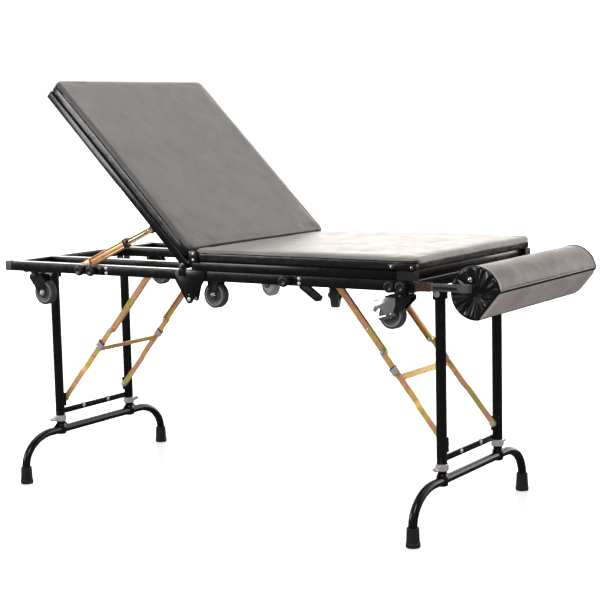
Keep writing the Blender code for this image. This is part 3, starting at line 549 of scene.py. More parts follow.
# ============================================================== frames
def frame_tubes(piece, outer_x, inner_x, crosses):
    """Outer and inner rails, then cross tubes given as (x, x, y, y)."""
    piece.add(BLACK,
              both_sides(tube, *outer_x, RAIL_INSIDE, HALF_WIDTH, RAIL_BASE, RAIL_TOP),
              both_sides(tube, *inner_x, LEG_Y - TUBE / 2, LEG_Y + TUBE / 2,
                         RAIL_BASE + 0.0002, RAIL_TOP - 0.0002))
    for limits in crosses:
        piece.add(BLACK, tube(*limits, RAIL_BASE + 0.0003, RAIL_TOP - 0.0003))


def leg_ears(piece, x):
    for side in SIDES:
        for k in (-1, 1):
            y = side * LEG_Y + k * 0.0150
            piece.add(BLACK, box(x - 0.0115, x + 0.0115, y - 0.0015, y + 0.0015,
                                 0.5560, 0.5930, bevel=0.0010, seg=2))


def caster_plate(piece, number, half_x=0.0300, half_y=0.0260):
    """Mounting plate, swivel boss and four screws."""
    x, y = CASTERS[number][:2]
    boss = [(0.0, 0.5884), (0.0200, 0.5884), (0.0212, 0.5868), (0.0205, 0.5845),
            (0.0170, 0.5833), (0.0, 0.5833)]
    piece.add(PRESSED,
              box(x - half_x, x + half_x, y - half_y, y + half_y, 0.5880, 0.5908,
                  bevel=0.0009, seg=2),
              turned(boss, (x, y, 0), Z_AXIS, 48))
    for i in (-1, 1):
        for j in (-1, 1):
            seat = (x + i * (half_x - 0.006), y + j * (half_y - 0.006), 0.5881)
            piece.add(STEEL, dome_bolt(seat, -Z_AXIS, 0.0042, 0.0026))


def brace_pivot(piece, x, side):
    """Block and bolt inside an inner rail, where a leg brace turns."""
    piece.add(BLACK, box(x - 0.012, x + 0.012, side * 0.1365, side * 0.1207, 0.5880, 0.6080,
                         bevel=0.0010, seg=2))
    piece.add(STEEL,
              rod((x, side * 0.122, BRACE_Z), (x, side * 0.1085, BRACE_Z), 0.0038),
              hex_bolt((x, side * 0.1102, BRACE_Z), (0, -side, 0), 0.0060, 0.0036))


def near_rail_bolts(piece, x, heights):
    for z in heights:
        piece.add(STEEL, hex_bolt((x, -HALF_WIDTH, z), (0, -1, 0), 0.0034, 0.0030))


def weld_beads(piece, places):
    """Uneven upright beads where the cross tubes meet the outer rails."""
    for x in places:
        for side in SIDES:
            path = [(x + 0.0009 * math.sin(j * 2.1),
                     side * RAIL_INSIDE - side * (0.0004 + 0.0004 * math.sin(j * 2.7)),
                     RAIL_TOP - 0.0012 - 0.023 * j / 26.0) for j in range(27)]
            piece.add(BLACK, sweep(path, 0.0011, 8))


# (x, z) outlines of the plates hanging down to the fold pin
FOLD_OUTER = [(0.0540, 0.6155), (-0.0480, 0.6155), (-0.0430, 0.5905),
              *arc(0.0, FOLD_Z, 0.0110, 203, 337, 14), (0.0470, 0.5905)]
FOLD_INNER = [(0.0240, 0.6100), (0.0040, 0.6100), (0.0020, 0.5880),
              *arc(0.0, FOLD_Z, 0.0075, 180, 337, 14), (0.0200, 0.5880)]
# (x, z) outline of the lug carrying the backrest hinge pin
HINGE_LUG = [(-0.0320, 0.6000), (-0.0060, 0.6000), (-0.0070, 0.6240),
             *arc(PIVOT_X, PIVOT_Z, 0.0095, 0, 180, 14), (-0.0290, 0.6240)]
# (x, z) outline of the plastic bracket on the near foot rail
RAIL_BRACKET = [(0.3180, 0.5925), (0.3420, 0.5925), (0.3800, 0.5660), (0.3740, 0.5560),
                (0.3640, 0.5550), (0.3200, 0.5840)]


def foot_frame():
    piece = Piece("frame_leg_end")
    frame_tubes(piece, outer_x=(0.0012, 0.6320), inner_x=(0.0110, 0.6200),
                crosses=[(0.0022, 0.0266, -CROSS_Y, CROSS_Y), (0.2203, 0.2457, -CROSS_Y, CROSS_Y),
                         (0.6030, 0.6284, -RAIL_INSIDE, CROSS_Y)])
    leg_ears(piece, FOOT_LEG_X)
    pin_head = [(0.0, 0.0), (0.0052, 0.0), (0.0054, 0.0008), (0.0044, 0.0016),
                (0.0036, 0.0010), (0.0, 0.0008)]
    for side in SIDES:
        piece.add(BLACK, side_prism(FOLD_INNER, side * (RAIL_INSIDE + 0.0003),
                                    side * (RAIL_INSIDE - 0.0028)))
        piece.add(STEEL,
                  rod((0, side * 0.2770, FOLD_Z), (0, side * 0.3100, FOLD_Z), 0.0040),
                  turned(pin_head, (0, side * 0.3088, FOLD_Z), (0, side, 0), 32),
                  dome_bolt((0.0, side * 0.3085, FOLD_Z + 0.0115), (0, side, 0), 0.0016, 0.0008))
        brace_pivot(piece, FOOT_BRACE_X, side)
    for number in (5, 7, 6):
        caster_plate(piece, number)
    # pads on the near rail behind the knobs
    piece.add(BLACK, box(0.2790, 0.3030, -0.3100, -0.3040, 0.5935, 0.6120),
              box(0.5680, 0.6150, -0.3085, -0.3040, 0.5915, 0.6120))
    piece.add(PLASTIC, side_prism(RAIL_BRACKET, -0.2960, -0.2840, bevel=0.0012, seg=3))
    near_rail_bolts(piece, 0.3260, (0.6085, 0.5970))
    weld_beads(piece, (0.0022, 0.0266, 0.2203, 0.2457, 0.6030))
    piece.finish("foot_half", ["foot_frame"], "black_paint")


def head_frame():
    piece = Piece("frame_head_end")
    frame_tubes(piece, outer_x=(-0.6220, -0.0012), inner_x=(-0.6120, -0.0052),
                crosses=[(-0.6215, -0.5961, -CROSS_Y, CROSS_Y),
                         (-0.0417, -0.0163, -CROSS_Y, CROSS_Y)])
    leg_ears(piece, HEAD_LEG_X)
    for side in SIDES:
        piece.add(BLACK,
                  side_prism(FOLD_OUTER, side * 0.3053, side * 0.3085, bevel=0.0007),
                  box(-0.0450, -0.0040, side * 0.3042, side * 0.3062, 0.5940, 0.6130,
                      bevel=0.0005, seg=1),
                  side_prism(HINGE_LUG, side * 0.3086, side * 0.3052, bevel=0.0006))
        piece.add(STEEL, rod((PIVOT_X, side * 0.306, PIVOT_Z), (PIVOT_X, side * 0.286, PIVOT_Z),
                             0.0030))
        piece.add(BLACK, dome_bolt((PIVOT_X, side * 0.3085, PIVOT_Z), (0, side, 0),
                                   0.0052, 0.0022))
        brace_pivot(piece, HEAD_BRACE_X, side)
    caster_plate(piece, 1)
    # wider plates over the casters at the head end
    piece.add(PRESSED, box(-0.5200, -0.4580, -0.3000, -0.2480, 0.5882, 0.5909, bevel=0.0008),
              box(-0.5950, -0.4950, 0.1500, 0.2900, 0.5878, 0.5909, bevel=0.0008))
    caster_plate(piece, 2, half_x=0.0280)
    caster_plate(piece, 4, half_x=0.0280)
    # pin and bolt at the foot of the strut
    x, z = -0.3720, 0.6095
    piece.add(STEEL, rod((x, -0.2810, z), (x, -0.2605, z), 0.0030),
              hex_bolt((x, -0.2618, z), Y_AXIS, 0.0050, 0.0034))
    piece.add(BLACK, box(-0.3640, -0.2820, -0.3090, -0.3040, 0.5935, 0.6120, bevel=0.0014))
    near_rail_bolts(piece, -0.2700, (0.6095, 0.5965))
    weld_beads(piece, (-0.5961, -0.0417, -0.0163))
    piece.finish("head_half", ["head_frame"], "black_paint")


def rail_end_caps():
    for side in SIDES:
        name, y = SIDE_NAMES[side], side * RAIL_Y
        section = (y - 0.0130, y + 0.0130, RAIL_BASE - 0.0003, RAIL_TOP + 0.0003)
        piece = Piece("rail_end_cap_" + name)
        piece.add(GREY_PLASTIC, box(-0.6306, -0.6225, *section, bevel=0.0016),
                  box(-0.6240, -0.6085, *section, bevel=0.0008, seg=2))
        piece.finish("head_half", ["cap_head_" + name], "grey_plastic")
    for side in SIDES:
        dress("cap_foot_" + SIDE_NAMES[side], PLASTIC, bevel=0.0016, seg=3)


# ============================================================== boards
def seat_deck():
    piece = Piece("seat_deck")
    piece.add(BLACK,
              both_sides(box, 0.0060, 0.5915, 0.2770, 0.3030, 0.6163, 0.6376, bevel=0.0024),
              box(0.0080, 0.0340, -0.2800, 0.2800, 0.6165, 0.6374, bevel=0.0020),
              box(0.5980, 0.6240, -0.2780, 0.2780, 0.6165, 0.6374, bevel=0.0020))
    piece.add(BOARD, box(0.0090, 0.6200, -0.2800, 0.2800, 0.6260, 0.6376, bevel=0.0008))
    # angle plate on the near side, by the fold
    piece.add(BLACK, box(0.0030, 0.0290, -0.3086, -0.3056, 0.6344, 0.6640, bevel=0.0008),
              box(0.0060, 0.0290, -0.3075, -0.3000, 0.6344, 0.6376, bevel=0.0006))
    for z in (0.6570, 0.6420):
        piece.add(STEEL, dome_bolt((0.0160, -0.3086, z), -Y_AXIS, 0.0034, 0.0016))
    # corner plate screwed round the near foot corner
    piece.add(BLACK, box(0.5700, 0.6400, -0.3094, -0.3052, 0.6392, 0.6530, bevel=0.0010),
              box(0.6380, 0.6412, -0.3092, -0.2960, 0.6392, 0.6530, bevel=0.0010))
    for x in (0.5790, 0.6310):
        piece.add(CHROME, hex_bolt((x, -0.3092, 0.6462), -Y_AXIS, 0.0034, 0.0024))
    piece.finish("foot_half", ["seat_board"], "board")


def back_deck():
    """Drawn flat over the head frame, then raised about the hinge."""
    eye = RAISE.inverted() @ STRUT_TOP
    lug = [(eye.x + 0.022, 0.6200), (eye.x - 0.022, 0.6200),
           *arc(eye.x, eye.z, 0.0085, 200, 340, 12)]
    head, foot = BACK_HEAD + 0.0060, PIVOT_X + 0.0058
    frame = [
        *both_sides(box, head, foot, 0.2790, 0.3030, 0.6193, 0.6393, bevel=0.0022),
        box(BACK_HEAD + 0.0065, BACK_HEAD + 0.0305, -0.2800, 0.2800, 0.6195, 0.6391,
            bevel=0.0020),
        box(PIVOT_X - 0.0190, PIVOT_X + 0.0054, -0.2800, 0.2800, 0.6195, 0.6391, bevel=0.0020),
        box(-0.3350, -0.3110, -0.2800, 0.2800, 0.6197, 0.6390, bevel=0.0020),
    ]
    board = box(BACK_HEAD + 0.0120, PIVOT_X - 0.0020, -0.2900, 0.2900, 0.6270, 0.6392,
                bevel=0.0006)
    groups = (
        (BLACK, frame),
        (BOARD, [board]),
        (BLACK, [side_prism(lug, -0.2640, -0.2610)]),
        (STEEL, hex_bolt((eye.x, -0.2610, eye.z), Y_AXIS, 0.0050, 0.0034)),
    )
    piece = Piece("back_deck")
    for material, parts in groups:
        for part in parts:
            part.transform(RAISE)
        piece.add(material, parts)
    piece.finish("backrest", ["backrest_board"], "board")


# ============================================================== upholstered pads
PAD_STEP = 0.0105       # grid spacing of the cover
PLEAT = 0.0006          # depth of the puckers below the seam
STITCH_PITCH = 0.0046
# stitch section: (distance along the thread, share of its thickness)
STITCH = ((-0.00150, 0.25), (-0.00105, 0.85), (0.0, 1.0), (0.00105, 0.85), (0.00150, 0.25))


def pad_mesh(name, head, foot, base, top, corner, edge, seam_share):
    """Flat underside, sewn band round the sides and a flat top with an eased edge.
    Returns the mesh, the side rows of vertex indices, the seam's row and the underside."""
    columns = round((foot - head) / PAD_STEP)
    lines = round(2 * HALF_WIDTH / PAD_STEP)

    def spot(i, j, inset):
        """Grid point, pulled into the rounded corners."""
        half_x, half_y = (foot - head) / 2 - inset, HALF_WIDTH - inset
        radius = max(corner - inset * 0.6, 0.004)
        x = (2.0 * i / columns - 1) * half_x
        y = (2.0 * j / lines - 1) * half_y
        over_x, over_y = abs(x) - (half_x - radius), abs(y) - (half_y - radius)
        if over_x > 0 and over_y > 0:
            shrink = max(over_x, over_y) / math.hypot(over_x, over_y)
            x = math.copysign(half_x - radius + over_x * shrink, x)
            y = math.copysign(half_y - radius + over_y * shrink, y)
        return (head + foot) / 2 + x, y

    border = [(i, 0) for i in range(columns)] + [(columns, j) for j in range(lines)]
    border += [(i, lines) for i in range(columns, 0, -1)] + [(0, j) for j in range(lines, 0, -1)]

    # side profile from the underside up: (inset, z)
    tuck = edge * 0.55
    seam_z = base + (top - base) * seam_share
    low = base + tuck
    profile = [(tuck, base)]
    for k in range(1, 4):
        t = math.radians(30.0 * k)
        profile.append((tuck * (1 - math.sin(t)), base + tuck * (1 - math.cos(t))))
    for k in range(1, 4):
        profile.append((0.0, low + (seam_z - 0.0016 - low) * k / 3.0))
    seam_row = len(profile)
    profile += [(0.0, seam_z), (0.0, seam_z + 0.0016)]
    for k in range(5):
        t = math.radians(90.0 * k / 5.0)
        profile.append((edge * (1 - math.cos(t)),
                        max(top - edge + edge * math.sin(t), seam_z + 0.0022 + 0.0006 * k)))

    bm = bmesh.new()
    upper, under = {}, {}
    for i in range(columns + 1):
        for j in range(lines + 1):
            upper[i, j] = bm.verts.new((*spot(i, j, edge), top))
            under[i, j] = bm.verts.new((*spot(i, j, tuck + 0.002), base))
    rows = [[bm.verts.new((*spot(i, j, inset), z)) for i, j in border] for inset, z in profile]
    chain = [[under[q] for q in border]] + rows + [[upper[q] for q in border]]
    count = len(border)
    for level, (row, following) in enumerate(zip(chain, chain[1:])):
        for i in range(count):
            j = (i + 1) % count
            face = bm.faces.new((row[i], row[j], following[j], following[i]))
            # top faces take the cover material, lightened as painted reflection; the band below
            # the seam and the underside take the plain black side vinyl
            face.material_index = 1 if level <= seam_row + 1 else 0
    for i in range(columns):
        for j in range(lines):
            cell = ((i, j), (i + 1, j), (i + 1, j + 1), (i, j + 1))
            bm.faces.new([upper[q] for q in cell]).material_index = 0
            cell = ((i, j), (i, j + 1), (i + 1, j + 1), (i + 1, j))
            bm.faces.new([under[q] for q in cell]).material_index = 1
    bmesh.ops.recalc_face_normals(bm, faces=bm.faces[:])
    bm.verts.index_update()
    rows = [[v.index for v in row] for row in rows]
    underside = sorted({v.index for v in under.values()} | set(rows[0]) | set(rows[1]))
    return to_mesh(name, bm), rows, seam_row, underside


def inflate(ob, underside, seam):
    """Blows the cover up as cloth over its pinned underside; returns the new positions."""
    pins = ob.vertex_groups.new(name="pin")
    pins.add(underside, 1.0, "REPLACE")
    pins.add(seam, 0.5, "REPLACE")
    modifier = ob.modifiers.new("cloth", "CLOTH")
    cloth = modifier.settings
    cloth.quality = 5
    cloth.mass = 0.4
    cloth.tension_stiffness = cloth.compression_stiffness = 18
    cloth.shear_stiffness = 12
    cloth.bending_stiffness = 3.0
    cloth.use_pressure = True
    cloth.uniform_pressure_force = 4.0
    cloth.vertex_group_mass = "pin"
    cloth.pin_stiffness = 2.0
    cloth.effector_weights.gravity = 0.0
    modifier.collision_settings.use_collision = False
    for frame in range(1, 21):
        SCENE.frame_set(frame)
    evaluated = ob.evaluated_get(bpy.context.evaluated_depsgraph_get())
    places = [v.co.copy() for v in evaluated.data.vertices]
    ob.modifiers.clear()
    SCENE.frame_set(1)
    return places


def crown_cover(mesh, rest, places, head, foot, base, top, crown, seed, quick):
    """Applies the inflation within limits, with slow dips over the top."""
    spread_limit = 0.0022
    for vertex, start, place in zip(mesh.vertices, rest, places):
        move = place - start
        rise = min(1.0, max(0.0, (start.z - base) / (top - base)))
        sideways = Vector((move.x, move.y, 0))
        if sideways.length > spread_limit:
            sideways *= spread_limit / sideways.length
        lift = max(-0.0005, min(crown, move.z)) * rise
        swell = 0.0
        if quick:
            # a plain swell stands in for the cloth
            end_x = min(start.x - head, foot - start.x) / 0.10
            end_y = min(start.y + HALF_WIDTH, HALF_WIDTH - start.y) / 0.10
            inner = max(0.0, min(1.0, end_x)) * max(0.0, min(1.0, end_y))
            swell = crown * 0.55 * (inner ** 0.5) * rise
        where = start * 9.0 + Vector((seed * 3.1, seed * 1.7, 0))
        dips = noise.noise(where) * 0.0012 * rise
        vertex.co = start + sideways + Vector((0, 0, lift + swell + dips))


def draw_in_sides(mesh, rows, seam_row, head, foot, seed):
    """Pulls the sides in between the corners and the seam a little further, with puckers."""
    center = (head + foot) / 2
    for level, row in enumerate(rows):
        for index in row:
            co = mesh.vertices[index].co
            if (min(abs(co.x - head), abs(co.x - foot))
                    < min(abs(co.y + HALF_WIDTH), abs(co.y - HALF_WIDTH))):
                outward = Vector((co.x - center, 0, 0))
                along = co.y
                share = along / HALF_WIDTH
            else:
                outward = Vector((0, co.y, 0))
                along = co.x
                share = (along - center) / ((foot - head) / 2)
            outward.normalize()
            pull = 0.0014 * (1 - share * share)
            if level == seam_row:
                pull += 0.0011
            elif level == seam_row + 1:
                pull += 0.0002
            if 1 < level < seam_row:
                pucker = noise.noise(Vector((along * 55.0, level * 0.35, seed)))
                pull += PLEAT * max(0.0, pucker)
            mesh.vertices[index].co = co - outward * pull
    mesh.update()


def stitch(point, along, outward):
    up = along.cross(outward).normalized()
    rings = []
    for distance, width in STITCH:
        bow = 0.00022 * (1 - (distance / 0.0015) ** 2)
        rings.append([point + along * distance
                      + outward * (bow + 0.00030 * width * math.cos(t))
                      + up * (0.00034 * width * math.sin(t))
                      for t in [2 * math.pi * k / 6 for k in range(6)]])
    return loft(rings)


def pad_stitches(name, mesh, rows, seam_row, center):
    """Two rows of stitches, just above and below the seam."""
    stitches = bmesh.new()
    for level, rise in ((seam_row + 1, 0.0011), (seam_row - 1, 0.0)):
        ring = [mesh.vertices[i].co.copy() for i in rows[level]]
        travel = 0.0
        for start, end in zip(ring, ring[1:] + ring[:1]):
            length = (end - start).length
            along = (end - start).normalized()
            while travel <= length:
                point = start.lerp(end, travel / length)
                outward = Vector((along.y, -along.x, 0))
                if outward.dot(point - Vector((center, 0, point.z))) < 0:
                    outward = -outward
                seat = point + Vector((0, 0, rise)) + outward * 0.00005
                merge(stitch(seat, along, outward), stitches)
                travel += STITCH_PITCH
            travel -= length
    return to_mesh(name + "_stitches", stitches)


def pad(name, head, foot, base, top, corner, edge, seam_share, crown, seed, cover, body, node,
        tilt):
    mesh, rows, seam_row, underside = pad_mesh(name, head, foot, base, top, corner, edge,
                                               seam_share)
    rest = [v.co.copy() for v in mesh.vertices]
    ob = link(name, mesh)
    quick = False
    places = rest if quick else inflate(ob, underside, rows[seam_row])
    crown_cover(mesh, rest, places, head, foot, base, top, crown, seed, quick)
    draw_in_sides(mesh, rows, seam_row, head, foot, seed)
    thread = pad_stitches(name, mesh, rows, seam_row, (head + foot) / 2)
    finish_mesh(thread, THREAD)
    thread_ob = link(thread.name, thread)
    # cover carries painted reflection on the top; SIDE_VINYL is the plain black of the sides
    finish_mesh(mesh, cover, SIDE_VINYL)
    subdivide(ob)
    for matrix in (tilt, SHIFT):
        mesh.transform(matrix)
        thread.transform(matrix)
    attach(ob, body)
    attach(thread_ob, body)
    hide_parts(node)


# ============================================================== leg sets
# turned profiles: (radius, z)
LEG_TUBE = [(0.0111, 0.1462), (0.0124, 0.1460), (0.0127, 0.1466), (0.0127, 0.5705),
            (0.0122, 0.5760), (0.0100, 0.5805), (0.0060, 0.5823), (0.0, 0.5827),
            (0.0, 0.4520), (0.0111, 0.4520)]
LEG_COLLAR = [(0.0, 0.1115), (0.0120, 0.1115), (0.0142, 0.1130), (0.0146, 0.1180),
              (0.0142, 0.1290), (0.0134, 0.1380), (0.0118, 0.1398), (0.0, 0.1400)]
FERRULE = [(0.0114, 0.0052), (0.0114, 0.0448), (0.0118, 0.0460), (0.0142, 0.0461),
           (0.0150, 0.0452), (0.0152, 0.0440), (0.0147, 0.0425), (0.0149, 0.0410),
           (0.0158, 0.0200), (0.0161, 0.0135), (0.0158, 0.0125), (0.0168, 0.0115),
           (0.0174, 0.0100), (0.0175, 0.0030), (0.0171, 0.0012), (0.0160, 0.0002),
           (0.0120, 0.0), (0.0, 0.0), (0.0, 0.0052)]
CLAMP_BAND = [(0.0130, 0.1492), (0.0150, 0.1490), (0.0160, 0.1500), (0.0158, 0.1520),
              (0.0160, 0.1570), (0.0158, 0.1620), (0.0160, 0.1640), (0.0150, 0.1650),
              (0.0130, 0.1648)]
# wing nut: turned hub (radius, height) and wing outline (outward, along the screw)
NUT_HUB = [(0.0, 0.0), (0.0048, 0.0), (0.0056, 0.0012), (0.0054, 0.0060), (0.0040, 0.0078),
           (0.0, 0.0082)]
NUT_WING = [(0.0030, -0.0016), (0.0090, -0.0030), (0.0128, -0.0018), (0.0138, 0.0020),
            (0.0120, 0.0052), (0.0080, 0.0046), (0.0030, 0.0028)]
CLAMP_Z = 0.1570
# lock sleeve and its cap, outside then bore:
# (half width across y, half height, corner radius, distance along the brace)
LOCK_SLEEVE = [(0.00590, 0.0098, 0.003, -0.0100), (0.00605, 0.0100, 0.003, -0.0094),
               (0.00605, 0.0100, 0.003, 0.0072), (0.00480, 0.0083, 0.002, 0.0072),
               (0.00480, 0.0083, 0.002, -0.0100)]
LOCK_CAP = [(0.00605, 0.0104, 0.003, 0.0072), (0.00605, 0.0106, 0.003, 0.0100),
            (0.00480, 0.0083, 0.002, 0.0100), (0.00480, 0.0083, 0.002, 0.0072)]


def leg_uprights(tag, x, link_foot):
    piece = Piece(tag + "_uprights")
    link_x, link_z = link_foot
    for side in SIDES:
        y = side * LEG_Y
        piece.add(LEG_BLACK, turned(LEG_TUBE, (x, y, 0), Z_AXIS, 48, closed=True))
        piece.add(STEEL, rod((x, y - 0.0190, 0.57), (x, y + 0.0190, 0.57), 0.0040))
        for k in (-1, 1):
            piece.add(STEEL, hex_bolt((x, y + k * 0.0167, 0.57), (0, k, 0), 0.0060, 0.0036))
        piece.add(LEG_BLACK,
                  box(x - 0.0110, x + 0.0110, side * 0.1366, side * 0.1322, 0.1900, 0.2270),
                  box(x - 0.0030, x + 0.0030, side * 0.1372, side * 0.1330, 0.1850, 0.2300,
                      bevel=0.0010))
        piece.add(STEEL,
                  rod((link_x, side * 0.1330, link_z), (link_x, side * 0.1190, link_z), 0.0038),
                  hex_bolt((link_x, side * 0.1214, link_z), (0, -side, 0), 0.0058, 0.0038))
    # flat bar joining the uprights
    piece.add(LEG_BLACK, box(x - 0.0020, x + 0.0020, -0.1366, 0.1366, 0.1670, 0.1830,
                             bevel=0.0009))
    for y in (-0.052, 0.052):
        piece.add(STEEL,
                  hex_bolt((x + 0.0020, y, 0.1765), X_AXIS, 0.0044, 0.0030),
                  hex_bolt((x - 0.0020, y, 0.1765), -X_AXIS, 0.0044, 0.0030),
                  dome_bolt((x, y, 0.1830), Z_AXIS, 0.0034, 0.0022))
    piece.finish(tag + "_legs", [tag + "_leg_upper"], "black_paint")


def foot_bar(tag, x):
    """Bent bar between the two feet, with the legs that slide into the uprights."""
    bend_y, bend_z = 0.1015, 0.0780
    path = [(x, -FOOT_Y, z) for z in (0.0060, 0.0180, 0.0320)]
    for i in range(25):
        t = math.radians(90 - 90 * i / 24.0)
        path.append((x, -(FOOT_Y - bend_y + bend_y * math.sin(t)),
                     0.0460 + bend_z * math.cos(t)))
    path += [(x, -y, z) for x, y, z in path[::-1]]
    piece = Piece(tag + "_foot_bar")
    piece.add(LEG_BLACK, sweep(path, 0.0110, 32))
    for side in SIDES:
        y = side * LEG_Y
        piece.add(LEG_BLACK, rod((x, y, 0.1240), (x, y, 0.4300), 0.0108),
                  turned(LEG_COLLAR, (x, y, 0), Z_AXIS, 40))
        for k in (-1, 1):
            piece.add(LEG_BLACK, prism([(0, 0), (0.016, 0), (0, 0.014)],
                                       (x, y + k * 0.0132, 0.1335), (0, k, 0), Z_AXIS,
                                       -0.0013, 0.0013, bevel=0.0003))
    piece.finish(tag + "_legs_ext", [tag + "_leg_lower"], "black_paint")


def ferrule(tag, x, side):
    name = SIDE_NAMES[side]
    piece = Piece(tag + "_ferrule_tip_" + name)
    piece.add(RUBBER, turned(FERRULE, (x, side * FOOT_Y, 0), Z_AXIS, 56, closed=True))
    piece.finish(tag + "_legs_ext", [tag + "_ferrule_" + name], "rubber")


def clamp(tag, x, side):
    """Band with two lugs, a screw and a wing nut on the outer side of the leg."""
    name, y = SIDE_NAMES[side], side * LEG_Y
    piece = Piece(tag + "_clamp_band_" + name)
    piece.add(NICKEL, turned(CLAMP_BAND, (x, y, 0), Z_AXIS, 56, closed=True))
    for start, end in ((-0.0044, -0.0012), (0.0012, 0.0044)):
        piece.add(NICKEL, box(x + start, x + end, y + side * 0.0148, y + side * 0.0260,
                              0.1508, 0.1632, bevel=0.0008))
    piece.add(STEEL,
              rod((x, y + side * 0.0170, CLAMP_Z), (x, y + side * 0.0375, CLAMP_Z), 0.0028),
              turned(NUT_HUB, (x, y + side * 0.0300, CLAMP_Z), (0, side, 0), 32))
    for k in (-1, 1):
        piece.add(STEEL, prism(NUT_WING, (x, y + side * 0.0350, CLAMP_Z), (k, 0, 0),
                               (0, side, 0), -0.0012, 0.0012))
    piece.finish(tag + "_legs", [tag + "_clamp_" + name], "chrome")


def lower_brace(tag, shade, knee, axis, normal, length):
    """Two joggled straps down from the knee, tied by a cross bar."""
    # (distance down from the knee, half width, inner y, outer y)
    stations = [(-0.0079, 0.0018), (-0.0070, 0.0040), (-0.0052, 0.0061), (-0.0026, 0.0076),
                (0.0, 0.0080)]
    stations = [(a, width, 0.1222, 0.1268) for a, width in stations]
    stations += [(0.1420, 0.0080, 0.1222, 0.1268), (0.1440, 0.0080, 0.1224, 0.1269),
                 (0.1580, 0.0078, 0.1263, 0.1303), (0.1600, 0.0078, 0.1265, 0.1306)]
    tip = ((0.0, 0.0078), (-0.0026, 0.0074), (-0.0052, 0.0060), (-0.0070, 0.0039),
           (-0.0078, 0.0017))
    stations += [(length - a, width, 0.1266, 0.1308) for a, width in tip]
    chamfer = 0.0006
    piece = Piece(tag + "_brace_low_arms")
    for side, tone in ((-1, 0), (1, 4)):
        rings = []
        for distance, width, inner, outer in stations:
            section = [(-width + chamfer, inner), (width - chamfer, inner),
                       (width, inner + chamfer), (width, outer - chamfer),
                       (width - chamfer, outer), (-width + chamfer, outer),
                       (-width, outer - chamfer), (-width, inner + chamfer)]
            rings.append([knee - axis * distance + normal * b + Vector((0, side * y, 0))
                          for b, y in section])
        piece.add(ZINC[(shade + tone) % 6], loft(rings))
        for distance, y in ((0.098, 0.1268), (0.176, 0.1307)):
            point = knee - axis * distance
            piece.add(ZINC[2], dome_bolt((point.x, side * y, point.z), (0, side, 0),
                                         0.0032, 0.0013))
        piece.add(STEEL, hex_bolt((knee.x, side * 0.1266, knee.z), (0, side, 0),
                                  0.0054, 0.0034))
    center = knee - axis * 0.0740
    corners = ((-0.0080, -0.0015), (0.0080, -0.0015), (0.0080, 0.0015), (-0.0080, 0.0015))
    rings = [[center + axis * a + normal * b + Vector((0, y, 0)) for a, b in corners]
             for y in [-0.1262 + 0.2524 * k / 12.0 for k in range(13)]]
    piece.add(ZINC[(shade + 2) % 6], loft(rings))
    for side in SIDES:
        point = center + normal * 0.0015
        piece.add(STEEL, dome_bolt((point.x, side * 0.1090, point.z), normal, 0.0028, 0.0012))
    piece.finish(tag + "_brace_low", [tag + "_brace_lower"], "zinc")


def upper_brace_rivets(tag, knee, upper):
    axis = Vector((upper[0] - knee.x, 0, upper[1] - knee.z)).normalized()
    point = knee + axis * 0.068
    piece = Piece(tag + "_brace_up_rivets")
    for side in SIDES:
        piece.add(STEEL,
                  dome_bolt((point.x, side * 0.1202, point.z), (0, side, 0), 0.0036, 0.0012),
                  dome_bolt((knee.x, side * 0.1106, knee.z), (0, -side, 0), 0.0050, 0.0020))
    piece.finish(tag + "_brace_up", (), "zinc")


def lock_sleeve(tag, side, knee, axis, normal):
    """Rounded sleeve round the lower brace, with a plastic cap at its knee end."""
    center = knee - axis * 0.0540

    def section(half_y, half_up, radius, distance):
        points = []
        for quarter, (sign_y, sign_up) in enumerate(((1, 1), (-1, 1), (-1, -1), (1, -1))):
            for k in range(6):
                t = math.radians(90 * quarter + 90.0 * k / 5)
                y = side * 0.12675 + sign_y * (half_y - radius) + radius * math.cos(t)
                rise = sign_up * (half_up - radius) + radius * math.sin(t)
                points.append(center + axis * distance + Y_AXIS * y + normal * rise)
        return points

    name = SIDE_NAMES[side]
    piece = Piece(tag + "_lock_ring_" + name)
    for material, stations in ((NICKEL, LOCK_SLEEVE), (PLASTIC, LOCK_CAP)):
        rings = [section(*station) for station in stations]
        piece.add(material, loft(rings + rings[:1], capped=False))
    piece.finish(tag + "_lock_" + name, [tag + "_sleeve_" + name], "chrome")


def leg_set(tag, x, knee, link_foot, upper, shade):
    """One folding end; knee, link_foot and upper are (x, z), shade picks the zinc tones."""
    leg_uprights(tag, x, link_foot)
    foot_bar(tag, x)
    for side in SIDES:
        ferrule(tag, x, side)
        clamp(tag, x, side)
    for side, tone in ((-1, 1), (1, 2)):
        dress(tag + "_brace_upper_" + SIDE_NAMES[side], ZINC[(shade + tone) % 6], bevel=0.0006)
    run_x, run_z = knee[0] - link_foot[0], knee[1] - link_foot[1]
    axis = Vector((run_x, 0, run_z)).normalized()
    normal = Vector((-axis.z, 0, axis.x))
    knee = Vector((knee[0], 0, knee[1]))
    lower_brace(tag, shade, knee, axis, normal, math.hypot(run_x, run_z))
    upper_brace_rivets(tag, knee, upper)
    for side in SIDES:
        lock_sleeve(tag, side, knee, axis, normal)


# ============================================================== back strut
STRUT_AXIS = (STRUT_TOP - STRUT_FOOT).normalized()
STRUT_NORMAL = Vector((-STRUT_AXIS.z, 0, STRUT_AXIS.x))
STRUT_LENGTH = (STRUT_TOP - STRUT_FOOT).length


def strut_point(along, rise, across):
    """Distance from the foot pin, height off the strut line, and offset in y."""
    return STRUT_FOOT + STRUT_AXIS * along + STRUT_NORMAL * rise + Vector((0, across, 0))


def slab(start, end, low, high, near, far, bevel):
    corners = ((start, low), (end, low), (end, high), (start, high))
    mesh = loft([[strut_point(a, b, y) for a, b in corners] for y in (near, far)])
    bevel_edges(mesh, mesh.edges[:], bevel, 2)
    return mesh


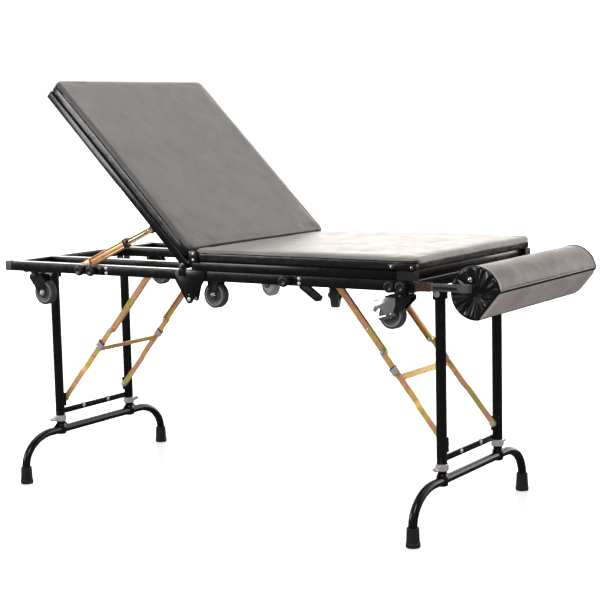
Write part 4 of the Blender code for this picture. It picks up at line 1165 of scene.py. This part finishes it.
def channel(start, end, half, near, far, wall, radius):
    """U section, open towards the near side and rounded at its far corners."""
    section = [(-half, near), (-half, far - radius)]
    for k in range(1, 6):
        t = math.radians(18 * k)
        section.append((-half + radius - radius * math.cos(t),
                        far - radius + radius * math.sin(t)))
    section += [(-b, y) for b, y in section[::-1]]
    bore = [(-(half - wall), near), (-(half - wall), far - wall)]
    section += [(-b, y) for b, y in bore] + bore[::-1]
    return loft([[strut_point(a, b, y) for b, y in section] for a in (start, end)])


def strut_channel():
    piece = Piece("strut_channel_body")
    piece.add(ZINC[4], channel(-0.0075, 0.1640, half=0.0098, near=-0.0080, far=0.0078,
                               wall=0.0016, radius=0.0018))
    # lips folded in along the open side
    piece.add(ZINC[1], slab(0.0250, 0.1640, -0.0098, -0.0064, -0.0088, -0.0078, 0.0003),
              slab(0.0250, 0.1640, 0.0064, 0.0098, -0.0088, -0.0078, 0.0003))
    # ratchet rack in the open side
    piece.add(ZINC[5], slab(0.0280, 0.1530, -0.0046, 0.0046, -0.0066, -0.0059, 0.0002))
    for k in range(17):
        a = 0.034 + 0.0070 * k
        tooth = [(a - 0.0026, -0.0034), (a + 0.0010, -0.0034), (a + 0.0026, 0.0034),
                 (a - 0.0010, 0.0034)]
        piece.add(ZINC[3], prism(tooth, STRUT_FOOT, STRUT_AXIS, STRUT_NORMAL, 0.0064, 0.0073,
                                 bevel=0.0003))
    # plastic collar at the mouth
    piece.add(PLASTIC, slab(0.1530, 0.1655, -0.0112, -0.0096, -0.0094, 0.0086, 0.0004),
              slab(0.1530, 0.1655, 0.0096, 0.0112, -0.0094, 0.0086, 0.0004),
              slab(0.1530, 0.1655, -0.0112, 0.0112, -0.0102, -0.0086, 0.0004))
    piece.add(ZINC[5], slab(-0.0075, 0.0252, -0.0078, 0.0078, -0.0098, -0.0079, 0.0004))
    piece.add(STEEL, dome_bolt(strut_point(0.0, 0.0, -0.0098), -Y_AXIS, 0.0046, 0.0018),
              dome_bolt(strut_point(0.0170, 0.0, -0.0098), -Y_AXIS, 0.0030, 0.0014))
    piece.finish("strut_outer", ["strut_channel"], "zinc")


def strut_rod():
    piece = Piece("strut_rod_body")
    piece.add(ZINC[1], channel(0.0625, STRUT_LENGTH + 0.0060, half=0.0068, near=-0.0054,
                               far=0.0050, wall=0.0014, radius=0.0012))
    piece.add(CHROME, slab(0.0625, STRUT_LENGTH - 0.0080, -0.0012, 0.0012, -0.0050, 0.0040,
                           0.0004))
    piece.add(STEEL, dome_bolt(STRUT_TOP - Vector((0, 0.0050, 0)), -Y_AXIS, 0.0040, 0.0022))
    piece.finish("strut_inner", ["strut_rod"], "zinc")


# ============================================================== casters
WHEEL_HALF = 0.0118
HOUSING = [(0.0, 0.5826), (0.0196, 0.5826), (0.0212, 0.5812), (0.0216, 0.5780),
           (0.0200, 0.5760), (0.0120, 0.5750), (0.0, 0.5748)]
# caster 5, outlines of (distance along the trail, z): brake shell, folded lever, top strip
BRAKE_SHELL = [(0.0180, 0.5740), (0.0400, 0.5745), (0.0560, 0.5700), (0.0680, 0.5610),
               (0.0760, 0.5500), (0.0770, 0.5400), (0.0690, 0.5390), (0.0620, 0.5480),
               (0.0540, 0.5440), (0.0500, 0.5340), (0.0420, 0.5300), (0.0300, 0.5320),
               (0.0230, 0.5440), (0.0180, 0.5580)]
BRAKE_LEVER = [(0.0140, 0.5330), (0.0260, 0.5290), (0.0420, 0.5225), (0.0560, 0.5200),
               (0.0620, 0.5230), (0.0600, 0.5290), (0.0440, 0.5330), (0.0340, 0.5390),
               (0.0200, 0.5400)]
BRAKE_TOP = [(0.0400, 0.5738), (0.0560, 0.5694), (0.0680, 0.5605), (0.0756, 0.5500),
             (0.0745, 0.5490), (0.0670, 0.5595), (0.0554, 0.5682), (0.0400, 0.5724)]
# caster 4: plate beside the wheel
SIDE_PLATE = [(0.0080, 0.5760), (0.0360, 0.5750), (0.0480, 0.5680), (0.0440, 0.5620),
              (0.0330, 0.5660), (0.0260, 0.5560), (0.0280, 0.5420), (0.0220, 0.5380),
              (0.0160, 0.5460), (0.0120, 0.5600)]
# turned buttons on the two plates: (radius, height)
BRAKE_BUTTON = [(0.0, 0.0), (0.0070, 0.0), (0.0076, 0.0010), (0.0060, 0.0026), (0.0, 0.0030)]
PLATE_BUTTON = [(0.0, 0.0), (0.0060, 0.0), (0.0064, 0.0010), (0.0050, 0.0024), (0.0, 0.0028)]


def wheel(number, center, axle, tread=TREAD, core=CORE):
    """Tyre, and on each face a light ring and a dished core."""
    face = WHEEL_HALF
    shoulder = -face + 0.0008
    tyre = [(0.0246, -face + 0.0026), (0.0262, -face + 0.0010), (0.0280, shoulder)]
    for k in range(1, 7):
        t = math.radians(15 * k)
        tyre.append((0.0280 + 0.0045 * math.sin(t), shoulder + 0.0050 * (1 - math.cos(t))))
    tyre += [(r, -h) for r, h in tyre[::-1]]
    # (radius, depth below the wheel face)
    ring = [(0.0238, 0.0030), (0.0240, 0.0014), (0.0250, 0.0008), (0.0258, 0.0014),
            (0.0252, 0.0030)]
    dish = [(0.0044, 0.0008), (0.0050, -0.0001), (0.0092, 0.0), (0.0106, 0.0006),
            (0.0118, 0.0034), (0.0150, 0.0044), (0.0200, 0.0042), (0.0228, 0.0034),
            (0.0244, 0.0022), (0.0246, face - 0.002), (0.0044, face - 0.002)]
    piece = Piece("caster_tyre_%d" % number)
    piece.add(tread, turned(tyre, center, axle, 72, closed=True))
    for k in (-1, 1):
        for material, profile in ((RING, ring), (core, dish)):
            profile = [(r, k * (face - depth)) for r, depth in profile]
            piece.add(material, turned(profile, center, axle, 72, closed=True))
    piece.finish("wheel_%d" % number, ["caster_wheel_%d" % number], "wheel")


def swivel_caster(number):
    x, y, direction, trail = CASTERS[number]
    forward = Vector((*direction, 0)).normalized()
    axle = forward.cross(Z_AXIS)
    center = Vector((x, y, 0.5325)) + forward * trail

    def plate(outline, offset, half, bevel):
        """Plate in the plane of the wheel, offset along the axle."""
        return prism(outline, (x, y, 0), forward, Z_AXIS, offset - half, offset + half, bevel)

    if number == 4:
        wheel(number, center, axle, TREAD_LIGHT, CORE_LIGHT)
    else:
        wheel(number, center, axle)
    dress("caster_fork_%d" % number, PRESSED, bevel=0.0006)
    piece = Piece("caster_housing_%d" % number)
    piece.add(PRESSED, turned(HOUSING, (x, y, 0), Z_AXIS, 48))
    for k in (-1, 1):
        piece.add(STEEL, hex_bolt(center + axle * (k * 0.0153), axle * k, 0.0060, 0.0040))
    # on casters 4 and 5 the axle points to the far side, so -axle is the near face
    if number == 5:
        for k in (-1, 1):
            piece.add(BRAKE, plate(BRAKE_SHELL, k * 0.0162, half=0.0006, bevel=0.0004))
            piece.add(CHROME, plate(BRAKE_LEVER, k * 0.0182, half=0.0007, bevel=0.0005))
        piece.add(BRAKE, plate(BRAKE_TOP, 0.0, half=0.0160, bevel=0.0003))
        piece.add(CHROME, turned(BRAKE_BUTTON, center - axle * 0.0188, -axle, 32))
    if number == 4:
        piece.add(BRAKE, plate(SIDE_PLATE, -0.0162, half=0.0006, bevel=0.0004))
        piece.add(CHROME, turned(PLATE_BUTTON, center - axle * 0.0170, -axle, 32))
    piece.finish("fork_%d" % number, (), "black_paint")


def fold_caster():
    """Caster 3, near the fold, which does not swivel."""
    center = Vector((0.0600, -0.2750, 0.5540))
    wheel(3, center, Y_AXIS)
    dress("caster_fork_3", PRESSED, bevel=0.0006)
    piece = Piece("caster_bolts_3")
    for k in (-1, 1):
        piece.add(CHROME, hex_bolt(center + Y_AXIS * (k * 0.0155), (0, k, 0), 0.0060, 0.0042))
    piece.finish("foot_half", (), "chrome")
    dress("brake_pedal", RED, bevel=0.0008, seg=3)


# ============================================================== knobs
KNOB_Z = 0.6020
# name, x, y of the grip's seat, y of the shaft's end
KNOBS = [
    ("knob_head_1", -0.3510, -0.3096, -0.2990), ("knob_head_2", -0.3130, -0.3096, -0.2990),
    ("knob_mid", 0.2910, -0.3106, -0.3000), ("knob_foot_1", 0.5770, -0.3091, -0.3035),
    ("knob_foot_2", 0.6060, -0.3091, -0.3035),
]
# (y from the seat, radius, depth of the flutes)
KNOB_PROFILE = [
    (0.0, 0.0070, 0.0), (0.0, 0.0088, 0.0), (-0.0012, 0.0096, 0.0), (-0.0026, 0.0112, 0.0004),
    (-0.0040, 0.0126, 0.0008), (-0.0056, 0.0130, 0.0009), (-0.0112, 0.0130, 0.0009),
    (-0.0130, 0.0124, 0.0008), (-0.0141, 0.0112, 0.0005), (-0.0146, 0.0090, 0.0001),
    (-0.0144, 0.0060, 0.0), (-0.0138, 0.0052, 0.0), (-0.0138, 0.0020, 0.0),
]


def knob(name, x, seat_y, shaft_y):
    rings = []
    for rise, radius, flute in KNOB_PROFILE:
        ring = []
        for i in range(96):
            t = 2 * math.pi * i / 96
            reach = radius + flute * (abs(math.cos(6 * t)) * 2 - 1)
            ring.append((x + reach * math.cos(t), seat_y + rise, KNOB_Z + reach * math.sin(t)))
        rings.append(ring)
    piece = Piece(name + "_grip")
    piece.add(PLASTIC, loft(rings))
    piece.add(STEEL, rod((x, seat_y - 0.002, KNOB_Z), (x, shaft_y, KNOB_Z), 0.0040))
    piece.finish(name + "_body", [name], "plastic", sharp=50)


# ============================================================== bolster
BOLSTER_NEAR, BOLSTER_FAR = -0.2500, 0.3000
BOLSTER_RADIUS = 0.0610
BOLSTER_X, BOLSTER_Z = 0.7560, 0.5880
BOLSTER_TILT = math.radians(50.0)
FLAT = 0.0425                       # from the axis to the flat base
FLAT_HALF = math.sqrt(BOLSTER_RADIUS * BOLSTER_RADIUS - FLAT * FLAT)
GATHER = -0.004                     # both coordinates of the point the end covers gather to
# end cover, from the rim in: (scale, y beyond the end of the body, pleat depth)
END_RINGS = [
    (0.997, 0.0012, 0.0001), (0.985, 0.0026, 0.0004), (0.955, 0.0036, 0.0010),
    (0.90, 0.0040, 0.0016), (0.83, 0.0040, 0.0021), (0.74, 0.0036, 0.0023),
    (0.64, 0.0030, 0.0022), (0.54, 0.0022, 0.0019), (0.44, 0.0014, 0.0015),
    (0.35, 0.0004, 0.0011), (0.27, -0.0006, 0.0008), (0.20, -0.0014, 0.0005),
    (0.13, -0.0020, 0.0002), (0.07, -0.0022, 0.0),
]


def bolster_arm():
    dress("bolster_socket", BRONZE, bevel=0.0010, seg=3)
    dress("bolster_bar", CHROME, bevel=0.0012, seg=3)
    dress("bolster_bar_cap", GREY_PLASTIC, bevel=0.0012, seg=3)
    piece = Piece("bar_slot")
    piece.add(PLASTIC, box(0.6780, 0.7390, -RAIL_Y - 0.00818, -RAIL_Y - 0.0070, 0.5988, 0.6062,
                           bevel=0.0005, seg=1))
    piece.finish("bolster_arm")


def bolster_point(a, b, y):
    """Section coordinates, with the flat at -b, tilted into place."""
    sin, cos = math.sin(BOLSTER_TILT), math.cos(BOLSTER_TILT)
    return Vector((BOLSTER_X + a * cos - b * sin, y, BOLSTER_Z + a * sin + b * cos))


def bolster_section(count=112):
    """Circle cut flat along its base with eased corners, evenly resampled."""
    low = math.degrees(math.asin(FLAT / BOLSTER_RADIUS))
    raw = arc(0, 0, BOLSTER_RADIUS, -low + 3.0, 180 + low - 3.0, 90)
    raw += [(-FLAT_HALF + 0.0035 + (2 * FLAT_HALF - 0.007) * k / 12.0, -FLAT)
            for k in range(13)]
    ends = raw[1:] + raw[:1]
    lengths = [0.0]
    for a, b in zip(raw, ends):
        lengths.append(lengths[-1] + math.hypot(b[0] - a[0], b[1] - a[1]))
    points, k = [], 0
    for i in range(count):
        target = lengths[-1] * i / count
        while lengths[k + 1] < target:
            k += 1
        a, b = raw[k], ends[k]
        share = (target - lengths[k]) / (lengths[k + 1] - lengths[k])
        points.append((a[0] + (b[0] - a[0]) * share, a[1] + (b[1] - a[1]) * share))
    return points


SECTION = bolster_section()


def end_cover(y, side):
    """Pleated rings gathered towards the middle of an end."""
    rings = []
    for scale, rise, depth in END_RINGS:
        ring = []
        for a, b in SECTION:
            t = math.atan2(b - GATHER, a - GATHER)
            fold = (math.sin(t * 11 + 1.7 * math.sin(t * 2.0)) + 0.75 * math.sin(t * 19 + 0.8)
                    + 0.45 * math.sin(t * 31 + 2.0 * scale))
            shrink = scale * (1.0 + (0.016 * fold if scale < 0.97 else 0.0))
            ring.append(bolster_point(GATHER + (a - GATHER) * shrink,
                                      GATHER + (b - GATHER) * shrink,
                                      y + side * rise + side * depth * fold))
        rings.append(ring)
    return rings


def cover_row(y):
    """Section of the cover at y, with soft dips and drag wrinkles."""
    row = []
    for a, b in SECTION:
        radius = math.hypot(a, b)
        t = math.atan2(b, a)
        fade = min(1.0, min(y - BOLSTER_NEAR, BOLSTER_FAR - y) / 0.030)
        soft = noise.noise(Vector((a * 14, y * 9, b * 14))) * 0.0011
        # short wrinkles running round the pad, strongest at one spot on its upper face
        drift = noise.noise(Vector((t * 2.0, y * 12.0, 1.0)))
        wrinkle = math.sin((y + 0.15 * t) * 330.0 + 2.4 * drift)
        spot = math.exp(-((y + 0.035) / 0.045) ** 2) * math.exp(-((t - 0.45) / 0.55) ** 2)
        depth = soft * fade - 0.0010 + wrinkle * 0.00075 * spot * fade
        depth += (1 - fade) * 0.00055 * math.sin(t * 34 + 2 * math.sin(t * 5))
        if b < -FLAT + 0.0022:
            depth = -0.0004
        scale = (radius + min(depth, 0.0)) / radius
        row.append(bolster_point(a * scale, b * scale, y))
    return row


def bolster_cover():
    inset = 0.0048
    length = BOLSTER_FAR - BOLSTER_NEAR - 2 * inset
    near = end_cover(BOLSTER_NEAR + inset, -1)[::-1]
    far = end_cover(BOLSTER_FAR - inset, 1)
    body = [cover_row(BOLSTER_NEAR + inset + length * k / 90.0) for k in range(1, 90)]
    bm = loft(near + body + far)
    for face in bm.faces:
        y = face.calc_center_median().y
        on_end = y < BOLSTER_NEAR + 0.0085 or y > BOLSTER_FAR - 0.0085
        face.material_index = 1 if on_end else 0
    mesh = to_mesh("bolster_pad_cover", bm)
    finish_mesh(mesh, BOLSTER_VINYL, BOLSTER_END)
    mesh.transform(SHIFT)
    ob = link("bolster_pad_cover", mesh)
    subdivide(ob)
    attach(ob, "bolster_pad")
    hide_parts("bolster_cushion")


def bolster_trim():
    """Piping round both ends, a welt along both edges of the base, and a button."""
    piece = Piece("bolster_trim")
    for y in (BOLSTER_NEAR + 0.0040, BOLSTER_FAR - 0.0040):
        path = [bolster_point(a * 0.996, b * 0.996, y) for a, b in SECTION]
        piece.add(BOLSTER_END, sweep(path + path[:2], 0.0011, 8))
    # (beyond the edge of the flat, above the flat)
    welt = [(0.0016, 0.0070), (0.0010, -0.0004), (-0.0040, -0.0026), (-0.0070, -0.0010),
            (-0.0010, 0.0070)]
    length = BOLSTER_FAR - BOLSTER_NEAR - 0.008
    stations = [BOLSTER_NEAR + 0.004 + length * k / 24.0 for k in range(25)]
    for edge in (-1, 1):
        piece.add(BOLSTER_END, loft([[bolster_point(edge * (FLAT_HALF + out), -FLAT + rise, y)
                                      for out, rise in welt] for y in stations]))
    button = [(0.0, 0.0), (0.0058, 0.0), (0.0064, 0.0008), (0.0060, 0.0022), (0.0042, 0.0038),
              (0.0018, 0.0046), (0.0, 0.0048)]
    piece.add(CHROME, turned(button, (0.7445, BOLSTER_NEAR + 0.0010, 0.6180), -Y_AXIS, 40))
    piece.finish("bolster_pad", (), "vinyl")


def bolster_base():
    """Covered base: a flat face with shallow wrinkles and turned-in ends."""
    inset, back_half, face_half = 0.0060, 0.0412, 0.0385
    length = BOLSTER_FAR - BOLSTER_NEAR - 2 * inset
    rows = []
    for k in range(121):
        y = BOLSTER_NEAR + inset + length * k / 120.0
        end = min(1.0, min(y - BOLSTER_NEAR - inset, BOLSTER_FAR - inset - y) / 0.006)
        fullness = 0.45 + 0.55 * math.sqrt(max(end, 0.0))
        row = []
        for i in range(25):
            a = -face_half + 2 * face_half * i / 24.0
            wrinkle = (noise.noise(Vector((a * 10.0 + y * 30.0, y * 70.0, 2.0))) * 0.0010
                       + noise.noise(Vector((a * 40.0, y * 160.0, 7.0))) * 0.0004)
            middle = 1 - (abs(a) / face_half) ** 6
            depth = 0.0062 * (0.25 + 0.75 * middle) + max(0.0, wrinkle) * middle
            row.append(bolster_point(a, -FLAT - 0.0008 - depth * fullness, y))
        for i in range(7):
            a = back_half - 2 * back_half * i / 6.0
            row.append(bolster_point(a, -FLAT - 0.0004, y))
        rows.append(row)
    piece = Piece("bolster_base_panel")
    # the panel's pale colour is painted highlight
    piece.add(PANEL_VINYL_PAINTED_HIGHLIGHT, loft(rows))
    piece.finish("bolster_pad", ["bolster_board"], "board", sharp=60)


# ============================================================== stage, light, camera
def floor():
    """White floor: camera rays see the surface, all others a plain glow."""
    mesh = bpy.data.meshes.new("floor")
    half, z = 14, -0.0004
    corners = [(-half, -half, z), (half, -half, z), (half, half, z), (-half, half, z)]
    mesh.from_pydata(corners, [], [(0, 1, 2, 3)])
    ob = link("floor", mesh)
    shader = Shader("floor_white")
    material = shader.finish(color=(0.90, 0.895, 0.89), rough=0.22, spec=0.45,
                             glow_color=(1.0, 0.995, 0.99), glow=0.42)
    # the polish varies a little about its plain value
    shader.finish(rough=shader.vary(shader.noise(scale=1.2, detail=2.0), 0.20, 0.26))
    glow = shader.node("Emission")
    rays = shader.node("LightPath").outputs
    # glow strength: 0.66 for diffuse rays, 0.07 for glossy ones
    shader.feed(glow.inputs["Strength"],
                shader.remap(rays["Is Glossy Ray"], 0.0, 1.0, 0.66, 0.07))
    split = shader.node("MixShader")
    shader.feed(split.inputs[0], rays["Is Camera Ray"])
    shader.feed(split.inputs[1], glow.outputs[0])
    shader.feed(split.inputs[2], shader.surface.outputs[0])
    shader.feed(shader.tree.nodes["Material Output"].inputs["Surface"], split.outputs[0])
    mesh.materials.append(material)


def studio():
    """White world, with its own brightness for camera, glossy and diffuse rays."""
    camera_level, diffuse_level = 1.02, 0.66
    glossy_front, glossy_back = 0.05, 1.55  # reflected from the near and the far side
    glossy_low = 1.55                       # extra share low down, by the floor
    world = bpy.data.worlds.new("studio")
    SCENE.world = world
    world.use_nodes = True
    world.cycles.sampling_method = "NONE"
    graph = Graph(world.node_tree)
    background = graph.tree.nodes["Background"]
    graph.feed(background.inputs["Color"], (1.0, 1.0, 1.0))
    direction = graph.node("TexCoord").outputs["Generated"]
    facing = graph.node("VectorMath", operation="DOT_PRODUCT")
    graph.feed(facing.inputs[0], direction)
    facing.inputs[1].default_value = (-0.30, 0.90, 0.30)
    sweep_level = graph.remap(facing.outputs["Value"], -0.05, 0.85, glossy_front, glossy_back,
                              smooth=True)
    split = graph.node("SeparateXYZ")
    graph.feed(split.inputs[0], direction)
    low_level = graph.remap(split.outputs["Z"], 0.10, 0.52, 1.0 + glossy_low, 1.0, smooth=True)
    glossy = graph.math("MULTIPLY", sweep_level, low_level)
    rays = graph.node("LightPath").outputs
    unseen = graph.mix("FLOAT", rays["Is Glossy Ray"], diffuse_level, glossy)
    level = graph.mix("FLOAT", rays["Is Camera Ray"], unseen, camera_level)
    graph.feed(background.inputs["Strength"], level)
    # warm light, seen as plain white by the camera
    tint = graph.mix("RGBA", rays["Is Camera Ray"], (1.0, 0.955, 0.915), (1.0, 1.0, 1.0))
    graph.feed(background.inputs["Color"], tint)


def area_light(name, location, target, width, height, power):
    light = bpy.data.lights.new(name, "AREA")
    light.shape = "RECTANGLE"
    light.size, light.size_y = width, height
    light.energy = power
    ob = link(name, light)
    ob.location = Vector(location) + ORIGIN
    aim = Vector(target) - Vector(location)
    ob.rotation_euler = aim.to_track_quat("-Z", "Y").to_euler()
    ob.visible_camera = False


def camera():
    azimuth, elevation, roll = (math.radians(a) for a in (33.8616, 7.2567, -1.3256))
    back = Vector((math.sin(azimuth) * math.cos(elevation),
                   -math.cos(azimuth) * math.cos(elevation), math.sin(elevation)))
    level = Vector((math.cos(azimuth), math.sin(azimuth), 0.0))
    upright = back.cross(level)
    right = level * math.cos(roll) + upright * math.sin(roll)
    up = -level * math.sin(roll) + upright * math.cos(roll)
    data = bpy.data.cameras.new("cam")
    data.lens = 87.14
    data.sensor_width = 36.0
    data.clip_start = 0.05
    ob = link("cam", data)
    ob.matrix_world = (SHIFT @ Matrix.Translation((2.2109, -3.1120, 0.9886))
                       @ Matrix((right, up, back)).transposed().to_4x4())
    SCENE.camera = ob
    SCENE.view_settings.view_transform = "Standard"


# ============================================================== build
foot_frame()
head_frame()
rail_end_caps()
seat_deck()
back_deck()
pad("seat_pad", head=0.0128, foot=0.6376, base=0.6380, top=0.6690, corner=0.020, edge=0.0085,
    seam_share=0.66, crown=0.0020, seed=1, cover=SEAT_VINYL_PAINTED_REFLECTION, body="foot_half",
    node="seat_cushion", tilt=Matrix())
pad("back_pad", head=BACK_HEAD, foot=BACK_FOOT, base=0.6396, top=0.6766, corner=0.018,
    edge=0.0095, seam_share=0.62, crown=0.0022, seed=2, cover=BACK_VINYL_PAINTED_REFLECTION, body="backrest",
    node="backrest_cushion", tilt=RAISE)
leg_set("head", HEAD_LEG_X, knee=(-0.4235, 0.4140), link_foot=(-0.5985, 0.2085),
        upper=(HEAD_BRACE_X, BRACE_Z), shade=0)
leg_set("foot", FOOT_LEG_X, knee=(0.4435, 0.4140), link_foot=(0.6125, 0.2085),
        upper=(FOOT_BRACE_X, BRACE_Z), shade=3)
strut_channel()
strut_rod()
for caster_number in CASTERS:
    swivel_caster(caster_number)
fold_caster()
for knob_row in KNOBS:
    knob(*knob_row)
bolster_arm()
bolster_cover()
bolster_trim()
bolster_base()
floor()
studio()
area_light("key", location=(1.6, -2.6, 3.2), target=(0, 0, 0.6), width=1.6, height=1.6, power=48)
area_light("side_strip", location=(-2.1, -2.5, 1.25), target=(-0.40, -0.3, 1.0),
           width=1.3, height=0.9, power=34)
area_light("top", location=(0.0, 0.4, 3.6), target=(0, 0, 0.6), width=3.0, height=2.0, power=40)
camera()

bpy.context.view_layer.update()
